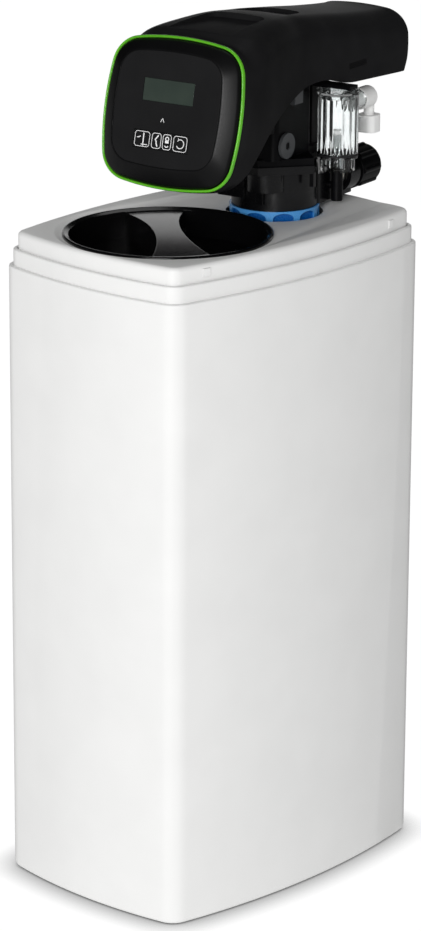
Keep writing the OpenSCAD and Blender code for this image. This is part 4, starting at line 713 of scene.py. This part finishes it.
def louvre(side, low):
    """Slat across a vent: a leaning strip, lower outside than inside, drawn along the hood."""
    section = np.array([[60.4, low], [61.0, low], [58.6, low + 3], [58.0, low + 3]])
    ends = [np.column_stack([side * section[:, 0], np.full(4, VENT_Y + end * (VENT_LONG / 2 + 1)),
                             DECK_Z + section[:, 1]])[::side] for end in (1, -1)]
    return skin(at_head(np.stack(ends)))


slats = [louvre(side, VENT_RISE + low) for side in (-1, 1) for low in (-4.5, -2.6, -0.7, 1.2)]
slats = solid_object("vent_louvres", joined(*slats))
by_edges(slats)
settle(slats, abs_black, body="softener", slot="hood_black")

# Display frame: a black ABS bezel that plugs into the hood's rim and slopes up to the flat panel, with a
# translucent green acrylic bead lying round its foot.
PANEL_W, PANEL_H, PANEL_BOW, PANEL_CORNER, PANEL_RISE = 130, 121, 5, 24, 3
PANEL_N, PANEL_BACK = 14, 11.5
BEAD_N, BEAD_ACROSS, BEAD_DEEP, BEAD_INSET, FOOT_INSET = -2, 1.6, 2.6, 1.3, 0.8
panel_line = bowed_outline(PANEL_W, PANEL_H, PANEL_BOW, PANEL_BOW, PANEL_CORNER, HEAD_ARC, HEAD_TURNS)


def face_rings(outline, profile, rise=0.0):
    """One ring for each [inset, out] of a profile: the outline drawn in, in the display's plane."""
    return at_head(on_face(level_rings(outline, profile) + np.array([0, rise, 0])))


lip = BEAD_INSET + BEAD_ACROSS + 0.6
bezel = np.concatenate([
    face_rings(face_line, [[3.4, RIM_N - 7], [3.4, RIM_N], [FOOT_INSET, RIM_N], [FOOT_INSET, BEAD_N],
                           [lip, BEAD_N], [lip, 2.4], [lip + 0.7, 4.2], [lip + 2.5, 6]]),
    face_rings(panel_line, [[-2.5, PANEL_N - 0.8], [-1.6, PANEL_N - 0.25], [-0.6, PANEL_N], [0, PANEL_N],
                            [0, PANEL_BACK], [5, PANEL_BACK], [5, PANEL_BACK - 3]], PANEL_RISE),
    face_rings(face_line, [[lip + 5, 0], [5.8, RIM_N - 7]])])
bezel = solid_object("bezel", skin(bezel, closed=True))
by_edges(bezel)
# The bezel's mould is polished: darker than the hood, with brighter soft highlights on its slopes.
polished_abs = moulded("polished_abs", "#0d0d0e", "#111112", 0.36, 1.6, 0.01, edge=0.7,
                       **{"IOR": 1.53, "Specular IOR Level": 0.2})
settle(bezel, polished_abs, "fascia")
roll = np.linspace(-math.pi / 2, 1.5 * math.pi, 20, endpoint=False)
bead_profile = np.stack([BEAD_INSET - BEAD_ACROSS * np.cos(roll), BEAD_N + BEAD_DEEP * (1 + np.sin(roll))], 1)
bead = solid_object("green_bead", skin(face_rings(face_line, bead_profile), closed=True))
by_edges(bead, 60)
# Green acrylic takes some light in, so its bead glows softly along its length.
acrylic = moulded("green_acrylic", "#58ac22", "#66c02c", 0.24, 2.0, 0.01, edge=0.2,
                  **{"IOR": 1.49, "Subsurface Weight": 0.15, "Subsurface Scale": 0.004})
settle(bead, acrylic, "light_ring")

# Panel: a flat black polyester film on a thin plate, with the display's window and a row of keys that
# press in. The glass of the display is set just below it.
WINDOW_W, WINDOW_H, WINDOW_V = 63, 24, 22
KEY_LEFT, KEY_V, KEY_H, KEY_GAP = -36, -30, 18, 0.6
KEY_WIDTHS = (21.4, 13, 12, 19.6)
# Printed polyester film is a flat, even black with a weak sheen.
polyester = moulded("printed_polyester_film", "#181819", "#1c1c1d", 0.5, 0.9, 0.015, edge=0.2,
                    **{"IOR": 1.57, "Specular IOR Level": 0.15})
panel = solid_object("panel_film", skin(face_rings(panel_line, [[0.3, PANEL_BACK], [0.3, PANEL_N - 0.2],
                                                                [0.5, PANEL_N]], PANEL_RISE)))
row_w = sum(KEY_WIDTHS) + 3 * KEY_GAP
cuts = [block((-WINDOW_W / 2, WINDOW_V - WINDOW_H / 2, 0), (WINDOW_W / 2, WINDOW_V + WINDOW_H / 2, 20)),
        block((KEY_LEFT - KEY_GAP, KEY_V - KEY_H / 2 - KEY_GAP, 0),
              (KEY_LEFT + row_w + KEY_GAP, KEY_V + KEY_H / 2 + KEY_GAP, 20))]
cuts = [(at_head(on_face(points)), faces) for points, faces in cuts]
carve(panel, solid_object("panel_cuts", joined(*cuts)))
by_edges(panel)
settle(panel, polyester, "display_panel")
# The display's glass is smooth, over a dull green layer. The board's solder mask is a deep glossy green.
lcd_glass = moulded("display_glass", "#343d38", "#3a433d", 0.12, 3.0, 0.004, drift=30, edge=0.1,
                    **{"IOR": 1.52})
dressed("lcd_module", lcd_glass)
circuit = moulded("solder_mask", "#164c2e", "#1d5a38", 0.4, 1.5, 0.02, **{"IOR": 1.5})
dressed("control_board", circuit)

# Key marks: white ink printed on the film over each key, a rounded frame and a plain symbol, and a small
# arrowhead above the row.
INK_W, INK_T = 0.6, 0.08
# Printed ink is a flat white that covers the film.
ink = moulded("white_ink", "#f0f0f0", "#f8f8f8", 0.6, 0.8, 0.01, edge=0.05, **{"IOR": 1.5})


def stroke(path, u, v, width=INK_W, closed=False):
    """Raised line along a flat path: at each point a small rectangle square to the path's direction."""
    path = np.asarray(path, float) + [u, v]
    ahead = np.roll(path, -1, 0) - np.roll(path, 1, 0) if closed else np.gradient(path, axis=0)
    side = np.stack([-ahead[:, 1], ahead[:, 0]], 1) / np.linalg.norm(ahead, axis=1)[:, None] * width / 2
    corner = [np.column_stack([path + sign * side, np.full(len(path), PANEL_N + out)])
              for sign, out in ((-1, 0), (1, 0), (1, INK_T), (-1, INK_T))]
    return skin(at_head(on_face(np.stack(corner, 1))), closed)


def arc(radius, start, end, v=0.0, steps=20):
    """Arc of a circle round [0, v], between two angles in degrees."""
    a = np.radians(np.linspace(start, end, steps))
    return np.stack([radius * np.cos(a), v + radius * np.sin(a)], 1)


def key_frame(width, height, radius):
    """Rounded rectangle: four quarter circles round the corners' centres, joined by straight sides."""
    a = np.linspace(0, math.pi / 2, 7)
    turns = [(1, 1, 0), (-1, 1, 1), (-1, -1, 2), (1, -1, 3)]
    return np.vstack([np.stack([sx * (width / 2 - radius) + radius * np.cos(a + k * math.pi / 2),
                                sy * (height / 2 - radius) + radius * np.sin(a + k * math.pi / 2)], 1)
                      for sx, sy, k in turns])


symbols = (
    [([[1.5, 6.5], [1.5, -7]], 1.3), ([[-6.5, 1.2], [-4, 1.6], [-2.2, 2.8]], 0.9),
     ([[-1, -5.6], [7, -5.6]], 0.8)],
    [([[2.2, 6], [-1.8, 0.8], [-0.4, 0], [0.2, -3], [1.6, -6]], 1.3)],
    [(arc(1.9, 0, 360, 3.4), 1.0), ([[-2.2, 0.2], [2.2, 0.2]], 2.6), (arc(2.2, 200, 340, -3), 1.0)],
    [(arc(4.6, -150, 110), 0.9), ([[-3.4, 2.6], [-1.6, 4.4], [-3.2, 5.6]], 0.8)])
left = KEY_LEFT
for number, (width, marks) in enumerate(zip(KEY_WIDTHS, symbols), 1):
    middle = left + width / 2
    margin = 3.2 if width > 15 else 1.8
    lines = [stroke(key_frame(width - margin, KEY_H - 2.4, 3), middle, KEY_V, closed=True)]
    lines += [stroke(path, middle, KEY_V, thick) for path, thick in marks]
    mark = solid_object(f"key_mark_{number}", joined(*lines))
    settle(mark, ink, body=f"key_{number}", slot="fitting_white")
    dressed(f"key_{number}", polyester)
    left += width + KEY_GAP
arrow = solid_object("arrow_mark", stroke([[-2.2, -2], [-0.05, 2], [0.05, 2], [2.2, -2]], -3, -8.2, 0.6))
settle(arrow, ink, body="softener", slot="fitting_white")

# Studio: a white paper floor, a white wall behind that only shows in what it lights and in reflections, a
# large soft lamp near the camera and a faint one above. The floor's glow fades at the foot: a painted contact
# shadow.
FLOOR_HALF = 12.0
SHADOW_REACH = 0.035
SKY = 0.24


def seen_straight(tree, ray):
    """One for light that comes to the eye directly or only through clear pieces, not mirrored on the way."""
    direct = add_node(tree, "Math", {0: ray.outputs["Glossy Depth"], 1: 0.5}, operation="LESS_THAN")
    through = add_node(tree, "Math", {0: ray.outputs["Is Transmission Ray"], 1: direct.outputs[0]},
                       operation="MULTIPLY")
    return add_node(tree, "Math", {0: ray.outputs["Is Camera Ray"], 1: through.outputs[0]},
                    operation="MAXIMUM")


def glowing(name, code, bounce, mirrored, shadow):
    """Paper that reflects its colour, and glows for the eye and more weakly for what stands on it. Where
    shadow is asked for, its glow fades close to what stands on it: a painted contact shadow."""
    material = bpy.data.materials.new(name)
    material.use_nodes = True
    tree = material.node_tree
    tree.nodes.clear()
    ray = add_node(tree, "LightPath", {})
    eye = seen_straight(tree, ray)
    if shadow:
        # Painted contact shadow: ambient occlusion dims the floor's glow close to what stands on it.
        painted_contact_shadow = add_node(tree, "AmbientOcclusion", {"Distance": SHADOW_REACH}, samples=8)
        eye = add_node(tree, "Math", {0: eye.outputs[0], 1: painted_contact_shadow.outputs["AO"]}, operation="MULTIPLY")
    spread = add_node(tree, "Math", {0: ray.outputs["Is Diffuse Ray"], 1: bounce, 2: eye.outputs[0]},
                      operation="MULTIPLY_ADD")
    total = add_node(tree, "Math", {0: ray.outputs["Is Glossy Ray"], 1: mirrored, 2: spread.outputs[0]},
                     operation="MULTIPLY_ADD")
    glow = add_node(tree, "Emission", {"Strength": total.outputs[0]})
    matt = add_node(tree, "BsdfDiffuse", {"Color": srgb(code)})
    both = add_node(tree, "AddShader", {0: glow.outputs[0], 1: matt.outputs[0]})
    add_node(tree, "OutputMaterial", {"Surface": both.outputs[0]})
    return material


floor = solid_object("floor", (np.array([[-1, -1, 0], [1, -1, 0], [1, 1, 0], [-1, 1, 0]])
                               * FLOOR_HALF / MM, [[0, 1, 2, 3]]))
floor.data.materials.append(glowing("paper_floor", "#303030", 0.82, 0.25, True))
wall = solid_object("wall", (np.array([[-6.5, 2.6, 0.1], [-0.6, 6.5, 0.1],
                                       [-0.6, 6.5, 2.45], [-6.5, 2.6, 2.45]]) / MM, [[0, 1, 2, 3]]))
wall.data.materials.append(glowing("paper_wall", "#303030", 0.3, 0.8, False))
wall.visible_camera = False
wall.visible_transmission = False

world = bpy.data.worlds.new("studio")
bpy.context.scene.world = world
world.use_nodes = True
tree = world.node_tree
tree.nodes.clear()
ray = add_node(tree, "LightPath", {})
eye = seen_straight(tree, ray)
level = add_node(tree, "Math", {0: ray.outputs["Is Diffuse Ray"], 1: SKY, 2: eye.outputs[0]},
                 operation="MULTIPLY_ADD")
sky = add_node(tree, "Background", {"Color": srgb("#ffffff"), "Strength": level.outputs[0]})
add_node(tree, "OutputWorld", {"Surface": sky.outputs[0]})

# Camera and lamps: a long lens that looks down on the deck, as in the photograph, with the large lamp to
# its left and the faint one above the object's back.
CAMERA_AZ, CAMERA_EL, CAMERA_ROLL = math.radians(43.05), math.radians(17.37), math.radians(0.305)
CAMERA_AIM, CAMERA_FAR = np.array([0, 0, 0.4498]), 4.3317
PHOTO_H, FOCAL_PX = 931, 3954.2


def towards(azimuth, elevation):
    """Unit vector from the object towards an azimuth from the front and an elevation."""
    return np.array([math.sin(azimuth) * math.cos(elevation), -math.cos(azimuth) * math.cos(elevation),
                     math.sin(elevation)])


def look(location, aim, roll=0.0):
    """Matrix of a lamp or camera at a place that looks at an aim, turned by a roll."""
    back = (location - aim) / np.linalg.norm(location - aim)
    right = np.cross([0, 0, 1], back)
    right /= np.linalg.norm(right)
    up = np.cross(back, right)
    c, s = math.cos(roll), math.sin(roll)
    turn = np.column_stack([c * right + s * up, -s * right + c * up, back, location])
    return Matrix(np.vstack([turn, [0, 0, 0, 1]]).tolist())


for name, azimuth, elevation, far, size, power in (
        ("key_lamp", 32, 16, 6.0, 3.0, 238), ("top_lamp", 200, 62, 3.6, 1.6, 10)):
    lamp = bpy.data.lights.new(name, "AREA")
    lamp.shape = "DISK"
    lamp.size = size
    lamp.energy = power
    held = bpy.data.objects.new(name, lamp)
    aim = np.array([0, 0, 0.5])
    held.matrix_world = look(aim + far * towards(math.radians(azimuth), math.radians(elevation)), aim)
    bpy.context.scene.collection.objects.link(held)

camera = bpy.data.cameras.new("camera")
camera.sensor_fit = "VERTICAL"
camera.sensor_height = 24.0
camera.lens = FOCAL_PX / PHOTO_H * camera.sensor_height
camera.shift_x, camera.shift_y = -0.0034, -0.0006
camera.clip_end = 60.0
viewer = bpy.data.objects.new("camera", camera)
viewer.matrix_world = look(CAMERA_AIM + CAMERA_FAR * towards(CAMERA_AZ, CAMERA_EL), CAMERA_AIM, CAMERA_ROLL)
bpy.context.scene.collection.objects.link(viewer)
bpy.context.scene.camera = viewer
bpy.context.scene.view_settings.view_transform = "Standard"
